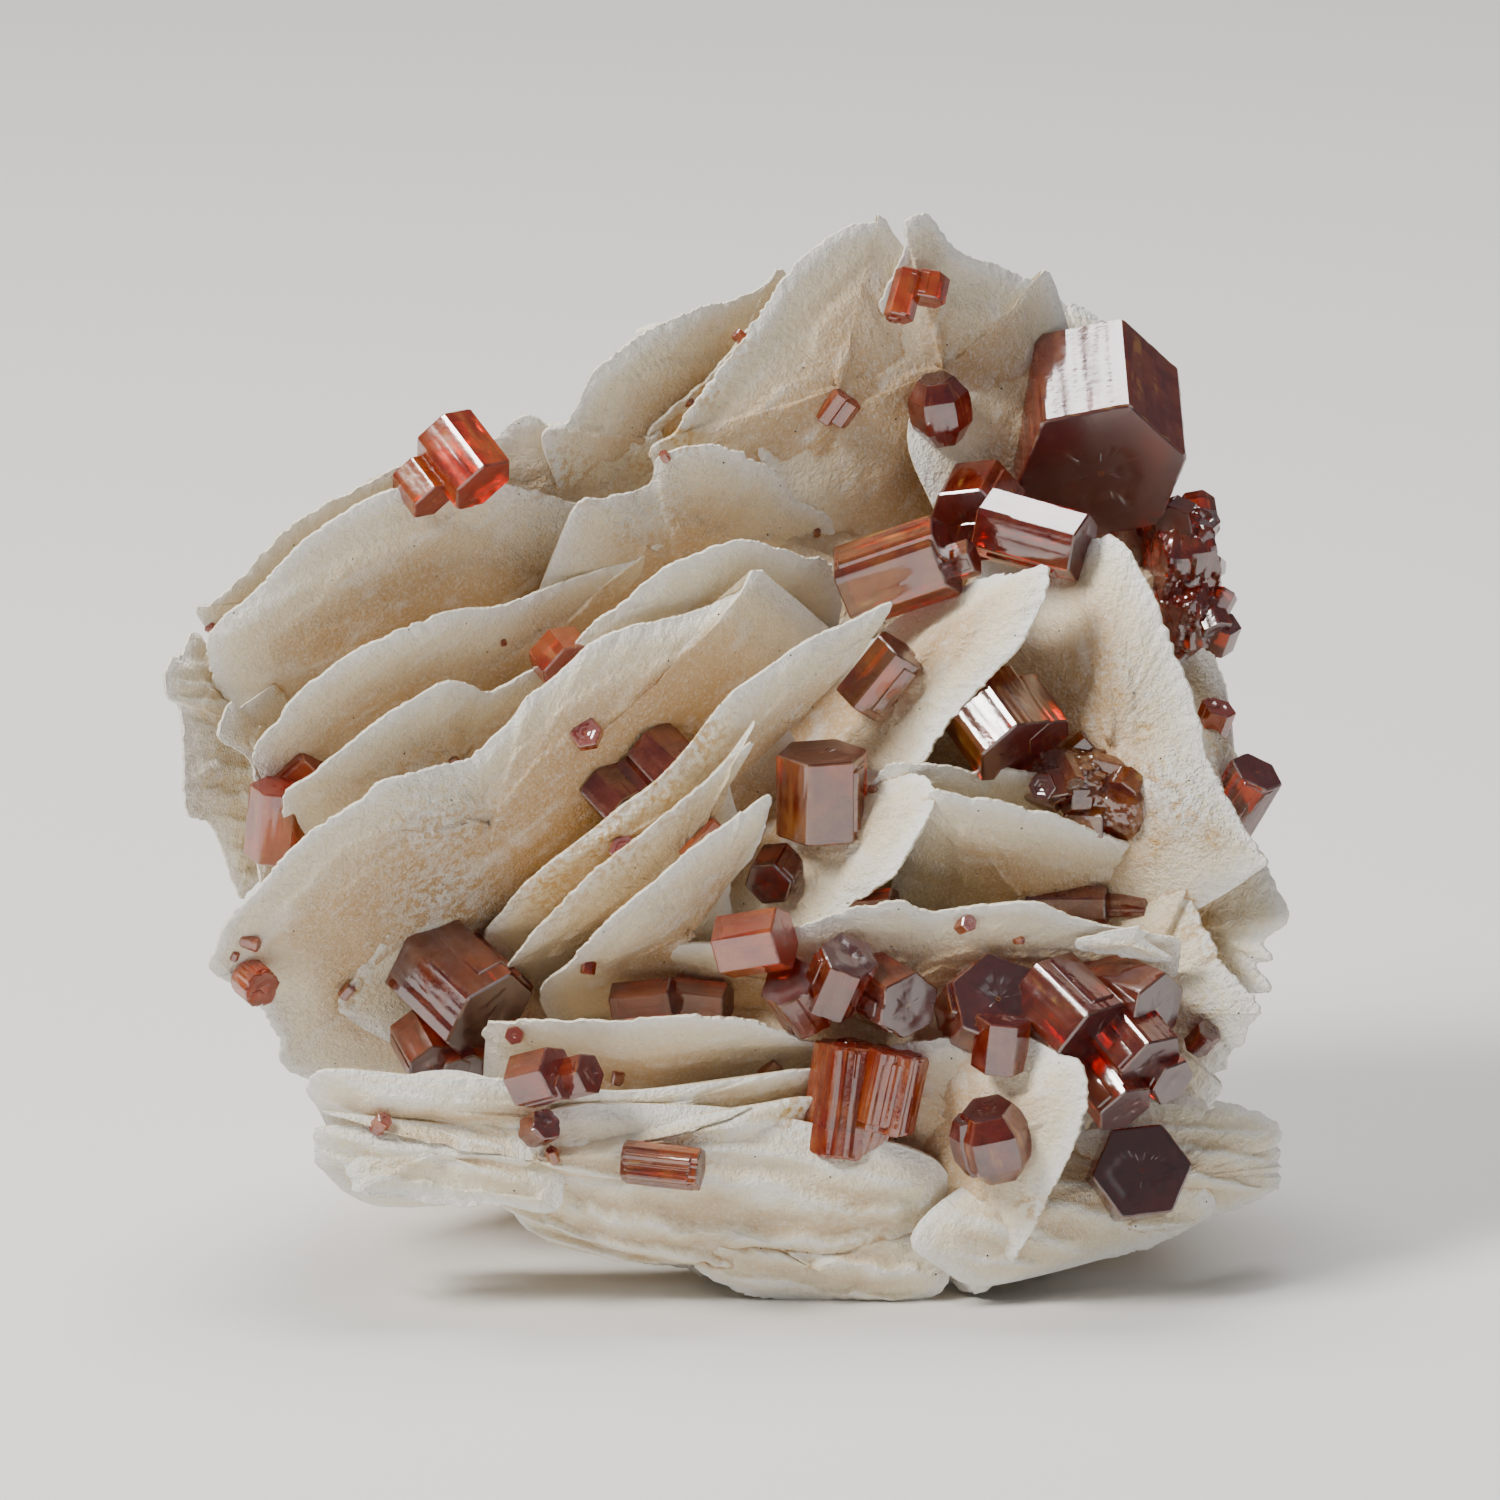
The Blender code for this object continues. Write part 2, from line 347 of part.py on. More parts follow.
def front(right, up, near):
    """A point seen from the front, in millimetres, turned into a place in space, in metres."""
    closer = 1.0 - near / VIEW_DISTANCE
    across = right * closer
    above = (up - VIEW_CENTRE_UP) * closer
    back = above * math.sin(VIEW_RISE) - near * math.cos(VIEW_RISE)
    height = above * math.cos(VIEW_RISE) + near * math.sin(VIEW_RISE)
    return Vector((across, back, height + CENTRE_HEIGHT)) * MM


def face_depth(blade, right, up):
    """How near the middle plane of a blade is at a point seen from the front."""
    rim = blade["rim"]
    middle_right = sum(point[0] for point in rim) / len(rim)
    middle_up = sum(point[1] for point in rim) / len(rim)
    looks = math.radians(blade["looks"])
    run = (right - middle_right) * math.cos(looks) + (up - middle_up) * math.sin(looks)
    return blade["near"] - math.tan(math.radians(blade["leans"])) * run


def sunk(blade, point, start, chord):
    """A point of a blade whose ends bend away from the viewer over 45% of its length."""
    first, last = blade.get("sinks", (0, 0))
    share = (point - start).dot(chord) / chord.length_squared
    drop = first * max(0, 1 - share / 0.45) ** 2 + last * max(0, 1 - (1 - share) / 0.45) ** 2
    return point - Vector((0, 0, drop))


def blade_outline(blade, chance):
    """The closed outline of a blade: its free rim and a rounded back end inside the mass, in turn
    about its middle so that it never crosses itself."""
    rim = [Vector((r, u, face_depth(blade, r, u))) for r, u in blade["rim"]]
    looks, leans = math.radians(blade["looks"]), math.radians(blade["leans"])
    normal = Vector((math.sin(leans) * math.cos(looks), math.sin(leans) * math.sin(looks), math.cos(leans)))
    away = Vector((math.cos(leans) * math.cos(looks), math.cos(leans) * math.sin(looks), -math.sin(leans)))
    chord = rim[-1] - rim[0]
    along = chord.normalized()
    inward = (away - along * away.dot(along)).normalized() * blade["reach"]
    middle = (rim[0] + rim[-1]) / 2
    back = []
    for step in range(1, BACK_POINTS + 1):
        turn = math.pi * step / (BACK_POINTS + 1)
        depth = math.sin(turn) ** 0.6 * chance.uniform(0.9, 1.08)
        back.append(middle + chord / 2 * math.cos(turn) + inward * depth)
    outline = [sunk(blade, point, rim[0], chord) for point in rim + back]
    centre = sum(outline, Vector()) / len(outline)
    across = normal.cross(along)

    def bearing(point):
        return math.atan2((point - centre).dot(across), (point - centre).dot(along))

    return sorted(outline, key=bearing), normal


def add_blade(name, blade, chance, collection):
    """One blade: a thin edge, a bevelled front and a flat back that is hidden in the mass."""
    outline, normal = blade_outline(blade, chance)
    centre = sum(outline, Vector()) / len(outline)
    half = normal * blade["thick"] / 2
    back = [point - half * 0.6 for point in outline]
    edge = [point + normal * BLADE_EDGE for point in back]
    face = []
    for point in outline:
        inset = centre - point
        face.append(point + inset * min(0.5, BLADE_SHOULDER / inset.length) + half)
    shape = bmesh.new()
    rings = [[shape.verts.new(front(*point)) for point in ring] for ring in (back, edge, face)]
    shape.faces.new(rings[0])
    shape.faces.new(rings[2])
    for lower, upper in zip(rings, rings[1:]):
        for index in range(len(outline)):
            following = (index + 1) % len(outline)
            shape.faces.new((lower[index], lower[following], upper[following], upper[index]))
    return finish_mesh(name, shape, collection)


def finish_mesh(name, shape, collection):
    """Put a finished shape into an object of its own, faces outwards, the origin under its middle."""
    bmesh.ops.translate(shape, vec=Vector(ORIGIN_SHIFT) * MM, verts=shape.verts)
    bmesh.ops.triangulate(shape, faces=shape.faces)
    bmesh.ops.recalc_face_normals(shape, faces=shape.faces)
    mesh = bpy.data.meshes.new(name)
    shape.to_mesh(mesh)
    shape.free()
    item = bpy.data.objects.new(name, mesh)
    collection.objects.link(item)
    return item


def add_lump(name, middle, half_sizes, collection, level, rough):
    """A rounded mass with an uneven surface."""
    shape = bmesh.new()
    bmesh.ops.create_icosphere(shape, subdivisions=level, radius=1.0)
    for point in shape.verts:
        swell = 1 + rough * noise.noise(point.co * 2.3 + middle)
        point.co = Vector([c * h * swell for c, h in zip(point.co, half_sizes)]) * MM + middle * MM
    return finish_mesh(name, shape, collection)


def add_back_blade(name, middle, faces, leans, half_width, half_height, thick, chance, collection):
    """A blade of the back: a rounded plate, thin at its edge, that faces back and upwards."""
    shape = bmesh.new()
    bmesh.ops.create_cone(shape, cap_ends=True, segments=11, radius1=1.0, radius2=0.82, depth=thick)
    for point in shape.verts:
        uneven = chance.uniform(0.86, 1.06)
        point.co.x *= half_width * uneven
        point.co.y *= half_height * uneven
    swing = Matrix.Rotation(math.radians(faces - 90), 4, "Z")
    tip = Matrix.Rotation(math.radians(leans - 90), 4, "X")
    bmesh.ops.transform(shape, matrix=Matrix.Translation(middle) @ swing @ tip, verts=shape.verts)
    bmesh.ops.scale(shape, vec=(MM, MM, MM), verts=shape.verts)
    return finish_mesh(name, shape, collection)


def direction(right, up, near):
    """A direction seen from the front, turned into a unit direction in space."""
    sideways = Vector((right, 0, 0))
    upwards = Vector((0, math.sin(VIEW_RISE), math.cos(VIEW_RISE))) * up
    closer = Vector((0, -math.cos(VIEW_RISE), math.sin(VIEW_RISE))) * near
    return (sideways + upwards + closer).normalized()


def prism_matrix(crystal):
    """Where a prism stands: its middle, with its long axis along its own Z."""
    right, up = crystal["at"]
    near = crystal["lift"]
    if crystal["on"]:
        blade = BLADES[crystal["on"]]
        near += face_depth(blade, right, up) + blade["thick"] / 2
    axis = direction(*crystal["axis"])
    tilt = axis.to_track_quat("Z", "Y").to_matrix().to_4x4()
    turn = Matrix.Rotation(math.radians(crystal["turn"]), 4, "Z")
    return Matrix.Translation(front(right, up, near)) @ tilt @ turn


def add_prism(name, crystal, collection, extra=0.0):
    """A six-sided prism; a tapered one has a smaller cap at each end."""
    shape = bmesh.new()
    radius = crystal["width"] / 2 + extra
    length = crystal["length"] + 2 * extra
    bmesh.ops.create_cone(shape, cap_ends=True, segments=6, radius1=radius, radius2=radius, depth=length)
    if crystal["taper"] < 1:
        caps = [face for face in shape.faces if len(face.verts) == 6]
        for cap in caps:
            bmesh.ops.inset_region(shape, faces=[cap], thickness=radius * (1 - crystal["taper"]))
            outwards = cap.normal * radius * 0.45
            bmesh.ops.translate(shape, vec=outwards, verts=cap.verts)
    bmesh.ops.scale(shape, vec=(MM, MM, MM), verts=shape.verts)
    bmesh.ops.transform(shape, matrix=prism_matrix(crystal), verts=shape.verts)
    return finish_mesh(name, shape, collection)


def material(name, colour, roughness):
    """A plain Principled material."""
    made = bpy.data.materials.new(name)
    made.use_nodes = True
    shader = made.node_tree.nodes["Principled BSDF"]
    shader.inputs["Base Color"].default_value = colour
    shader.inputs["Roughness"].default_value = roughness
    return made


def hide_cutter(item):
    item.hide_render = True
    item.display_type = "WIRE"


def add_boolean(item, name, operation, collection, solver="EXACT"):
    """Join or cut an object with everything in a collection."""
    step = item.modifiers.new(name, "BOOLEAN")
    step.operation = operation
    step.solver = solver
    step.operand_type = "COLLECTION"
    step.collection = collection


def keep_largest_body(item):
    """Carry out an object's modifiers and drop the loose chips that the cuts leave."""
    evaluated = item.evaluated_get(bpy.context.evaluated_depsgraph_get())
    mesh = bpy.data.meshes.new_from_object(evaluated)
    shape = bmesh.new()
    shape.from_mesh(mesh)
    waiting = set(shape.verts)
    bodies = []
    while waiting:
        front_line = [waiting.pop()]
        body = list(front_line)
        while front_line:
            point = front_line.pop()
            found = [edge.other_vert(point) for edge in point.link_edges]
            found = [other for other in found if other in waiting]
            waiting.difference_update(found)
            front_line += found
            body += found
        bodies.append(body)
    bodies.sort(key=len)
    for body in bodies[:-1]:
        bmesh.ops.delete(shape, geom=body, context="VERTS")
    shape.to_mesh(mesh)
    shape.free()
    item.modifiers.clear()
    item.data = mesh


def new_collection(name):
    made = bpy.data.collections.new(name)
    bpy.context.scene.collection.children.link(made)
    return made


def add_member(name, crystal, collection, extra=0.0):
    """One crystal or lump of a node, or with extra its pocket in the barite."""
    if "half_sizes" not in crystal:
        return add_prism(name, crystal, collection, extra)
    middle = front(*crystal["at"], crystal["near"]) / MM
    half_sizes = [size + extra for size in crystal["half_sizes"]]
    return add_lump(name, middle, half_sizes, collection, LUMP_LEVEL, GRANULAR_ROUGHNESS)


def add_crystal_node(name, members, part, pockets, colour):
    """Crystals grown together: the first member, joined with the others."""
    node = add_member(name, members[0], part)
    node.data.materials.append(colour)
    for index, crystal in enumerate(members):
        hide_cutter(add_member(f"{name}_pocket_{index + 1}", crystal, pockets, POCKET_GAP))
    if len(members) > 1:
        helpers = new_collection(name + "_members")
        for index, crystal in enumerate(members[1:]):
            hide_cutter(add_member(f"{name}_member_{index + 2}", crystal, helpers))
        add_boolean(node, "grown together", "UNION", helpers)


def main():
    for item in list(bpy.data.objects):
        bpy.data.objects.remove(item)
    part = new_collection("vanadinite")
    masses = new_collection("barite_pieces")
    pockets = new_collection("crystal_pockets")
    ground = new_collection("ground")
    white = material("barite", BARITE_COLOUR, 0.6)
    red = material("vanadinite", VANADINITE_COLOUR, 0.2)
    chance = random.Random(7)

    for name, members in CRYSTALS.items():
        add_crystal_node(name, members, part, pockets, red)

    for name, blade in BLADES.items():
        hide_cutter(add_blade(name, blade, chance, masses))
    for name, values in BACK_BLADES.items():
        hide_cutter(add_back_blade(name, Vector(values[0]), *values[1:], chance, masses))
    for name, (middle, half_sizes) in list(LUMPS.items())[1:]:
        hide_cutter(add_lump(name, Vector(middle), half_sizes, masses, LUMP_LEVEL, MASS_ROUGHNESS))
    middle, half_sizes = LUMPS["heart"]
    matrix = add_lump("barite_matrix", Vector(middle), half_sizes, part, LUMP_LEVEL, MASS_ROUGHNESS)
    matrix.data.materials.append(white)

    shape = bmesh.new()
    bmesh.ops.create_cube(shape, size=2 * GROUND_DEPTH * MM)
    bmesh.ops.scale(shape, vec=(10, 10, 1), verts=shape.verts)
    bmesh.ops.translate(shape, vec=(0, 0, -GROUND_DEPTH * MM), verts=shape.verts)
    hide_cutter(finish_mesh("ground_cut", shape, ground))

    add_boolean(matrix, "blades and lumps", "UNION", masses, "MANIFOLD")
    add_boolean(matrix, "crystal pockets", "DIFFERENCE", pockets, "MANIFOLD")
    add_boolean(matrix, "resting flats", "DIFFERENCE", ground, "MANIFOLD")
    flats = matrix.modifiers.new("one face to a flat", "DECIMATE")
    flats.decimate_type = "DISSOLVE"
    flats.angle_limit = FLAT_ANGLE
    keep_largest_body(matrix)


main()
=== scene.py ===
import json
import math

import bmesh
import bpy
import numpy as np
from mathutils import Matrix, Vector

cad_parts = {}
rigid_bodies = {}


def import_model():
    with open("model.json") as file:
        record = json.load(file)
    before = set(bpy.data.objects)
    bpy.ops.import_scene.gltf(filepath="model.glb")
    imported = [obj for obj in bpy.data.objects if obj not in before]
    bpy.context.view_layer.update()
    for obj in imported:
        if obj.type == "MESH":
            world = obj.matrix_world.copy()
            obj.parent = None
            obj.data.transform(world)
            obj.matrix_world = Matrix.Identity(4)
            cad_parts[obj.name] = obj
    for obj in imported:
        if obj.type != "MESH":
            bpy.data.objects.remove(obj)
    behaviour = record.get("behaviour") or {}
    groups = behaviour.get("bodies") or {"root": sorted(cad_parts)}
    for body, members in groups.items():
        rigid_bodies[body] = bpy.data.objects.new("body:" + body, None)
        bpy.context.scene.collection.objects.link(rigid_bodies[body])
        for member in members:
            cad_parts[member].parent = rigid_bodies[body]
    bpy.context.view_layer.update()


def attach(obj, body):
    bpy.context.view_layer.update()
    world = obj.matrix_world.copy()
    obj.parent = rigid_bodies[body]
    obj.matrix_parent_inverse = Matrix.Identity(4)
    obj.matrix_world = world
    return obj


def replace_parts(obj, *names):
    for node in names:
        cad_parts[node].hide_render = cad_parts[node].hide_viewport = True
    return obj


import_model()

MM = 0.001

# The photograph's view, in millimetres: how far above the horizon it was taken from and its
# distance, how high its centre is in the picture and in the frame, and what moves the origin under
# the middle of the specimen.
VIEW_RISE = math.radians(14.5)
VIEW_DISTANCE = 650.0
VIEW_CENTRE_UP = 24.8
CENTRE_HEIGHT = 23.2
ORIGIN_SHIFT = np.array((1.07, -3.17, 0.0))

# Barite blades.
# Thin tabular crystals of milky barite, stacked like shingles and grown into one mass. Their free
# rims are sharp and finely broken, with a painted white highlight along them, and their faces show faint
# steps of growth.
RIM_THICKNESS = 0.12
# How far from a blade's rim the painted highlight fades into the painted shade of its face, in millimetres.
PAINTED_RIM_LIGHT_FADE = 2.4
BACK_POINTS = 4
RIM_SAMPLES_PER_MM = 8.0
HIDDEN_SAMPLES_PER_MM = 1.5
FACE_RINGS = 34
BACK_RINGS = 7
LATTICE = 32


def blade(looks, leans, near, reach, thick, rim, sinks=(0, 0)):
    return dict(looks=looks, leans=leans, near=near, reach=reach, thick=thick, rim=rim, sinks=sinks)


# Each blade: the way its broad face looks (degrees, 0 right, 90 up) and how far it leans from
# facing the viewer; how near its rim is, how far the blade reaches from the rim into the mass and
# its thickness, in millimetres; and its bright free rim as seen from the front. Some blades bend
# away from the viewer at the first and the last end of the rim.
BLADES = {
    "summit_back": blade(-42, 48, 0.5, 15, 1.6, [(-9, 38.1), (-7.8, 39.3), (-6.7, 41.2), (-4.9, 42.8),
        (-2.7, 43.9), (0.5, 44.9), (2, 45.5)]),
    "summit_lath": blade(-42, 60, -1, 8, 0.9, [(-4.4, 38.5), (-3.5, 39.9), (-2.2, 41.1), (-1, 42.5),
        (0.2, 43.6)]),
    "summit_left": blade(-38, 34, 1.2, 17, 1.6, [(-3.9, 37.2), (-3.1, 39), (-2, 40.7), (-0.6, 42.6),
        (0.8, 44.4), (2.2, 46.2), (3.6, 47.4), (4.7, 48.1), (5.8, 48.2), (6.5, 47.8)]),
    "summit_front": blade(-38, 40, -1, 17, 1.8, [(0.8, 37.3), (1.6, 39.1), (2.9, 41.1), (5.4, 43.3),
        (6.4, 45.3), (7.1, 47), (7.1, 48.2), (7.8, 48.5), (8.4, 48.3), (8.8, 47.8), (9.2, 47.2),
        (10.3, 46.5), (11.2, 46.2), (12.9, 45.5), (13.9, 45.3)]),
    "summit_right": blade(15, 38, -8.5, -8, 2.2, [(10.5, 44.4), (12.7, 45.2), (13.9, 45.1), (15, 44.6),
        (15.8, 44.3), (16.4, 43.5), (17.4, 41.7), (18.3, 39.1), (18.8, 36.4), (18.4, 33)]),
    "shoulder": blade(-75, 48, 0.5, 15, 2, [(-12.5, 37.1), (-11.2, 38.3), (-10.3, 39.2), (-9.6, 39.3),
        (-8.7, 39), (-6.7, 38.7), (-4.9, 38.4), (-3.7, 37.9)]),
    "left_outer": blade(-55, 50, 1.5, 15, 1.1, [(-24.4, 30.4), (-23.9, 31.3), (-22.8, 32.2), (-21.4, 33.5),
        (-20.1, 34.6), (-18.5, 35.6), (-17, 36.4), (-15.6, 37.2), (-13.8, 37.5)]),
    "left_broad": blade(-62, 46, 1.8, 17, 1.6, [(-23.4, 27), (-24.2, 29.3), (-23.6, 30.5), (-22.3, 31.5),
        (-20.5, 33.3), (-18.8, 34.5), (-17, 35.6), (-15.2, 36.3), (-13.2, 36.6), (-10.7, 36.4),
        (-8.5, 35.9), (-6.7, 35.3), (-4.9, 34.2)]),
    "saddle": blade(-60, 46, 1.2, 16, 1.4, [(-8, 34.8), (-6.3, 35.8), (-4.4, 36.4), (-4, 37.6),
        (-2.7, 38.1), (-1.2, 38.2), (-0.2, 37.8), (0.8, 37.3), (2.2, 35.9), (3.8, 33.9)]),
    "left_second": blade(-57, 52, 2.8, 16, 1.2, [(-21.8, 23.7), (-20.8, 25.9), (-20, 27), (-18.4, 28.3),
        (-17.1, 29.2), (-15.1, 30.2), (-13.6, 30.9), (-12.7, 31.1), (-10.8, 31.3), (-8.5, 32), (-5.5, 32.9),
        (-3.6, 33.3)]),
    "left_third": blade(-57, 52, 3.4, 16, 1.2, [(-20.8, 21.9), (-19.4, 23.7), (-17.9, 24.9), (-16.5, 26),
        (-15.1, 26.8), (-13.8, 27.5), (-12.9, 27.6), (-12.1, 27.3), (-11.5, 27.1), (-10.7, 27.5),
        (-9.6, 28.1), (-8.3, 28.4), (-6.7, 28.6)]),
    "middle_lobe": blade(-58, 48, 3, 16, 1.3, [(-8.4, 27.5), (-7.8, 29.2), (-6.7, 30.5), (-5.7, 31.1),
        (-4.3, 32.3), (-3.7, 32.9), (-2.7, 33.3), (-1.3, 33.8), (0, 33.9), (1.1, 33.6), (2.2, 33.3),
        (3.8, 32.8), (4.1, 31.8), (4.2, 30.7)]),
    "great_diagonal": blade(-55, 47, 4.6, 17, 1.7, [(-19.6, 9.8), (-20.8, 11.7), (-21.8, 13.2), (-22.9, 14),
        (-23.9, 14.7), (-23.6, 15.6), (-23, 17), (-21.8, 18.3), (-20.5, 19.9), (-18.8, 21.3), (-17.4, 22.2),
        (-16.2, 23.2), (-14.3, 23.7), (-12.5, 24.3), (-11.4, 25.1), (-10.5, 25.9), (-9.8, 26.9),
        (-8.7, 27.6), (-7.8, 28.3), (-6.7, 29.2), (-4.9, 30), (-3.8, 30.2), (-2, 30.8), (-0.4, 31.6),
        (1.1, 32.2)]),
    "diagonal_step": blade(-55, 47, 1, 8, 1.2, [(-17.9, 12.7), (-17.3, 14.7), (-16.3, 16.1),
        (-15.4, 16.9), (-14.3, 17.4), (-12.5, 17.9)]),
    "stained_blade": blade(-55, 55, 5.2, 10, 1.6, [(-11.6, 15.6), (-10.7, 17.4), (-9.2, 19), (-7.4, 20.4),
        (-5.6, 21.9), (-3.9, 23.2), (-2.2, 25), (-0.8, 26.9), (0.7, 28.1), (2.2, 29.2), (4.5, 30.2),
        (6.4, 31.1), (5.8, 30), (4.5, 28.7), (2.9, 27.2), (1.8, 26)], (3.5, 0)),
    "tongue_upper": blade(-55, 56, 5.6, 9, 1.3, [(-10.9, 14.1), (-9.8, 16.1), (-8.5, 17.5), (-6.7, 19.3),
        (-4.5, 21.1), (-2.2, 22.8), (-0.7, 24.1), (0.4, 25.6), (0.4, 24.7), (-0.7, 23.2), (-2, 21.7)],
        (4, 0)),
    "tongue_lower": blade(-55, 56, 6, 9, 1.3, [(-9.2, 13.4), (-7.8, 15.2), (-6.3, 17), (-4.5, 18.5),
        (-2.7, 20), (-1.3, 21.1), (-0.2, 21.9), (1, 22.6), (0.8, 21.4), (0.1, 19.9), (-0.9, 18.5)],
        (4.5, 0)),
    "cross_blade": blade(150, 44, 3.6, 13, 1.5, [(4.9, 29.7), (6.5, 30.9), (8.5, 31.8), (10, 32.5),
        (11.8, 32.8), (13.2, 33.1), (13, 31.6), (12.1, 29.7), (11.2, 28.7), (9.5, 27), (8.5, 25.9),
        (7.4, 24.3), (5.8, 22.5)]),
    "cross_lower": blade(150, 46, 5.4, 12, 1.4, [(4.9, 24), (6.9, 23.9), (8.1, 23.2), (7.7, 22),
        (6.9, 20.5), (5.9, 19.3), (4.7, 18.4), (3.6, 17.4), (1.8, 15.8)]),
    "gallery_back": blade(-85, 52, 3.2, 13, 1.2, [(5.1, 22.1), (5.8, 23.5), (6.9, 23.9), (8.9, 23.8),
        (10.7, 23.3), (11.2, 23.6), (13.4, 23.3), (14.6, 22.7), (15.4, 21.7), (16.2, 20.5)]),
    "gallery_shelf": blade(-88, 54, 4.4, 14, 1.5, [(6.7, 19.9), (7.6, 22), (8.3, 22.7), (9.4, 22.5),
        (11.2, 22.3), (12.5, 22), (13.8, 21.7), (15.2, 21), (16.7, 20.3), (18.5, 19.8), (19.3, 18.7)]),
    "long_shelf": blade(-90, 54, 6, 15, 1.6, [(-5.4, 15), (-4.5, 15.5), (-2.7, 15.9), (-1.3, 16),
        (1.3, 16.4), (4.2, 17.3), (5.8, 17.5), (6.9, 17.6), (7.8, 17.2), (8.9, 17.2), (10.5, 17.4),
        (12.5, 17.5), (13.8, 17.1), (15.6, 16.5), (17.9, 16.1), (19.2, 15.2)], (2.5, 0)),
    "splinter": blade(-90, 30, 5.9, -2.2, 0.9, [(18.5, 15.2), (16.5, 15.5), (15, 15.7), (14.4, 16.1),
        (15.2, 16.4), (17.9, 16), (18.8, 15.4)]),
    "lower_shelf": blade(-90, 56, 6.6, 13, 1.5, [(-11.8, 11.8), (-10.7, 12.5), (-8.5, 12.6), (-5.8, 12.6),
        (-3.1, 12.6), (-1.3, 12.4), (0.4, 12.1), (2.2, 11.5), (3.6, 10.8)], (4, 2)),
    "lilac_face": blade(-90, 38, 5, 11, 2.2, [(4.5, 10.3), (6, 11.2), (8.5, 11.5), (10, 11.4), (11.6, 11),
        (13.4, 10.8), (15, 10.8)]),
    "foot_shelf": blade(-90, 52, 7.2, 8, 1.7, [(-19.4, 8.7), (-19.7, 9.6), (-19.3, 10.1), (-18.1, 10.2),
        (-15.6, 10), (-13.4, 9.9), (-11.2, 9.8), (-8.5, 9.4), (-5.8, 9.2), (-3.1, 9.4), (-1.3, 9.6),
        (0.7, 9.9), (2.2, 10.1), (3.6, 9.7)], (0, 3)),
    "white_tongue": blade(-90, 42, 6.6, 3.5, 2, [(-19.1, 5.9), (-19.3, 6.9), (-19.1, 7.7), (-18.8, 8.3),
        (-17.4, 8.2), (-15.6, 7.7), (-12.9, 7.4), (-10.3, 7.3), (-6.7, 7.4), (-4.5, 7.6), (-2.2, 8.2),
        (0, 8.6), (1.8, 8.9), (3.1, 8.3)], (0, 2)),
    "heel_left": blade(90, 12, 6.3, 5, 2.2, [(-17.9, 6.5), (-17.7, 5.7), (-17.5, 5.1), (-15.6, 4.9),
        (-12.9, 4.7), (-10.9, 4.6), (-8.5, 4.5)]),
    "keel": blade(-90, 40, 0.9, -7, 2.8, [(-12, 4.9), (-10.9, 4.6), (-10.3, 3.4), (-9.6, 2.8), (-8, 2.5),
        (-6.3, 2.1), (-5.3, 1.9), (-4.9, 1.5), (-3.1, 1.3), (-2.2, 0.8), (-0.4, 0.3), (1.8, 0), (4.5, -0.1),
        (7.8, -0.1), (8.8, 0.6), (9.5, 1.7)]),
    "keel_lens": blade(-90, 25, 2.9, -2, 1.6, [(-2.4, 1.5), (-0.4, 0.4), (1.8, 0.1), (4.5, -0.1),
        (7.6, 0), (8.6, 0.7), (8.7, 2), (7.4, 3), (4.5, 3.2), (1.5, 2.6)]),
    "curved_right": blade(195, 42, 6.2, 11, 1.6, [(9.2, 0.7), (11.2, 1.5), (11.8, 2.2), (12.7, 3.6),
        (13.3, 4.9), (13.9, 6.2), (14.5, 7.6), (14.8, 8.8), (14.8, 10), (14.4, 10.9), (13.2, 11.4)]),
    "right_foot": blade(0, 25, -0.7, -9, 2.6, [(15, 7.6), (16.7, 8.7), (18.3, 9.2), (20.3, 9.2), (22.1, 9),
        (23.4, 8.4), (24, 7.6), (24, 6.2), (23.9, 5.3), (22.3, 4.4), (20.5, 3.8), (18.5, 2.8),
        (16.5, 2.2)]),
    "right_sole": blade(-90, 35, -0.9, -6, 3.2, [(20.8, 4), (19, 2.9), (16.5, 1.8), (13.8, 1.4),
        (12.2, 1.2)]),
    "right_wall": blade(190, 33, 3.6, 15, 2.4, [(13.8, 33.3), (15.8, 34.2), (17, 32.8), (17.9, 31.3),
        (18.5, 29.7), (19.2, 27.9), (19.7, 26.1), (20, 24.6), (20.8, 23), (21.9, 21), (22.4, 20.2),
        (21.9, 19)]),
    "right_leaf": blade(175, 45, -1, 11, 1.3, [(19.1, 28.8), (20.1, 29.2), (20.8, 28), (21.2, 26.5),
        (21.4, 24.9), (22.1, 23), (22, 22), (21.3, 21.9)]),
    "right_fin": blade(170, 34, 2, 14, 2, [(21.2, 20.3), (22.3, 20.3), (22.9, 19.2), (23.5, 18.1),
        (23.7, 17.5), (23.5, 17), (22.9, 16.7), (22.6, 16.2), (22.9, 15.6), (22.3, 15.2), (22.9, 14.3),
        (22, 14), (21.2, 14.7)]),
    "right_ridge": blade(190, 36, 3.4, 15, 2.2, [(18.7, 19.8), (19.3, 18.3), (20.1, 16.5), (21.2, 14.7),
        (22.4, 13.5), (22.5, 12.9), (21.9, 12.3), (21.7, 11.6), (21.1, 11.3), (20.8, 10.6), (20.4, 10.3),
        (20.7, 9.9), (20.3, 9.2), (19.2, 8.9)]),
    "left_post": blade(-5, 60, -0.5, 12, 1.7, [(-23.9, 29.7), (-24.3, 30), (-24.8, 29.6), (-25, 29),
        (-25.5, 28.8), (-25.8, 28.1), (-25.7, 27.1), (-25.2, 26.6), (-25, 24.3), (-25, 22.7), (-24.7, 21.9),
        (-23.8, 21.4), (-23.1, 20.1), (-22.6, 18.8), (-21.8, 18.7)]),
    "left_post_inner": blade(-5, 56, 0.8, 10, 1.1, [(-23.3, 25.4), (-22.9, 26.9), (-22.5, 26.7),
        (-22, 24.3), (-21.7, 22.5), (-21.8, 20.5), (-21.3, 18.8)]),
}


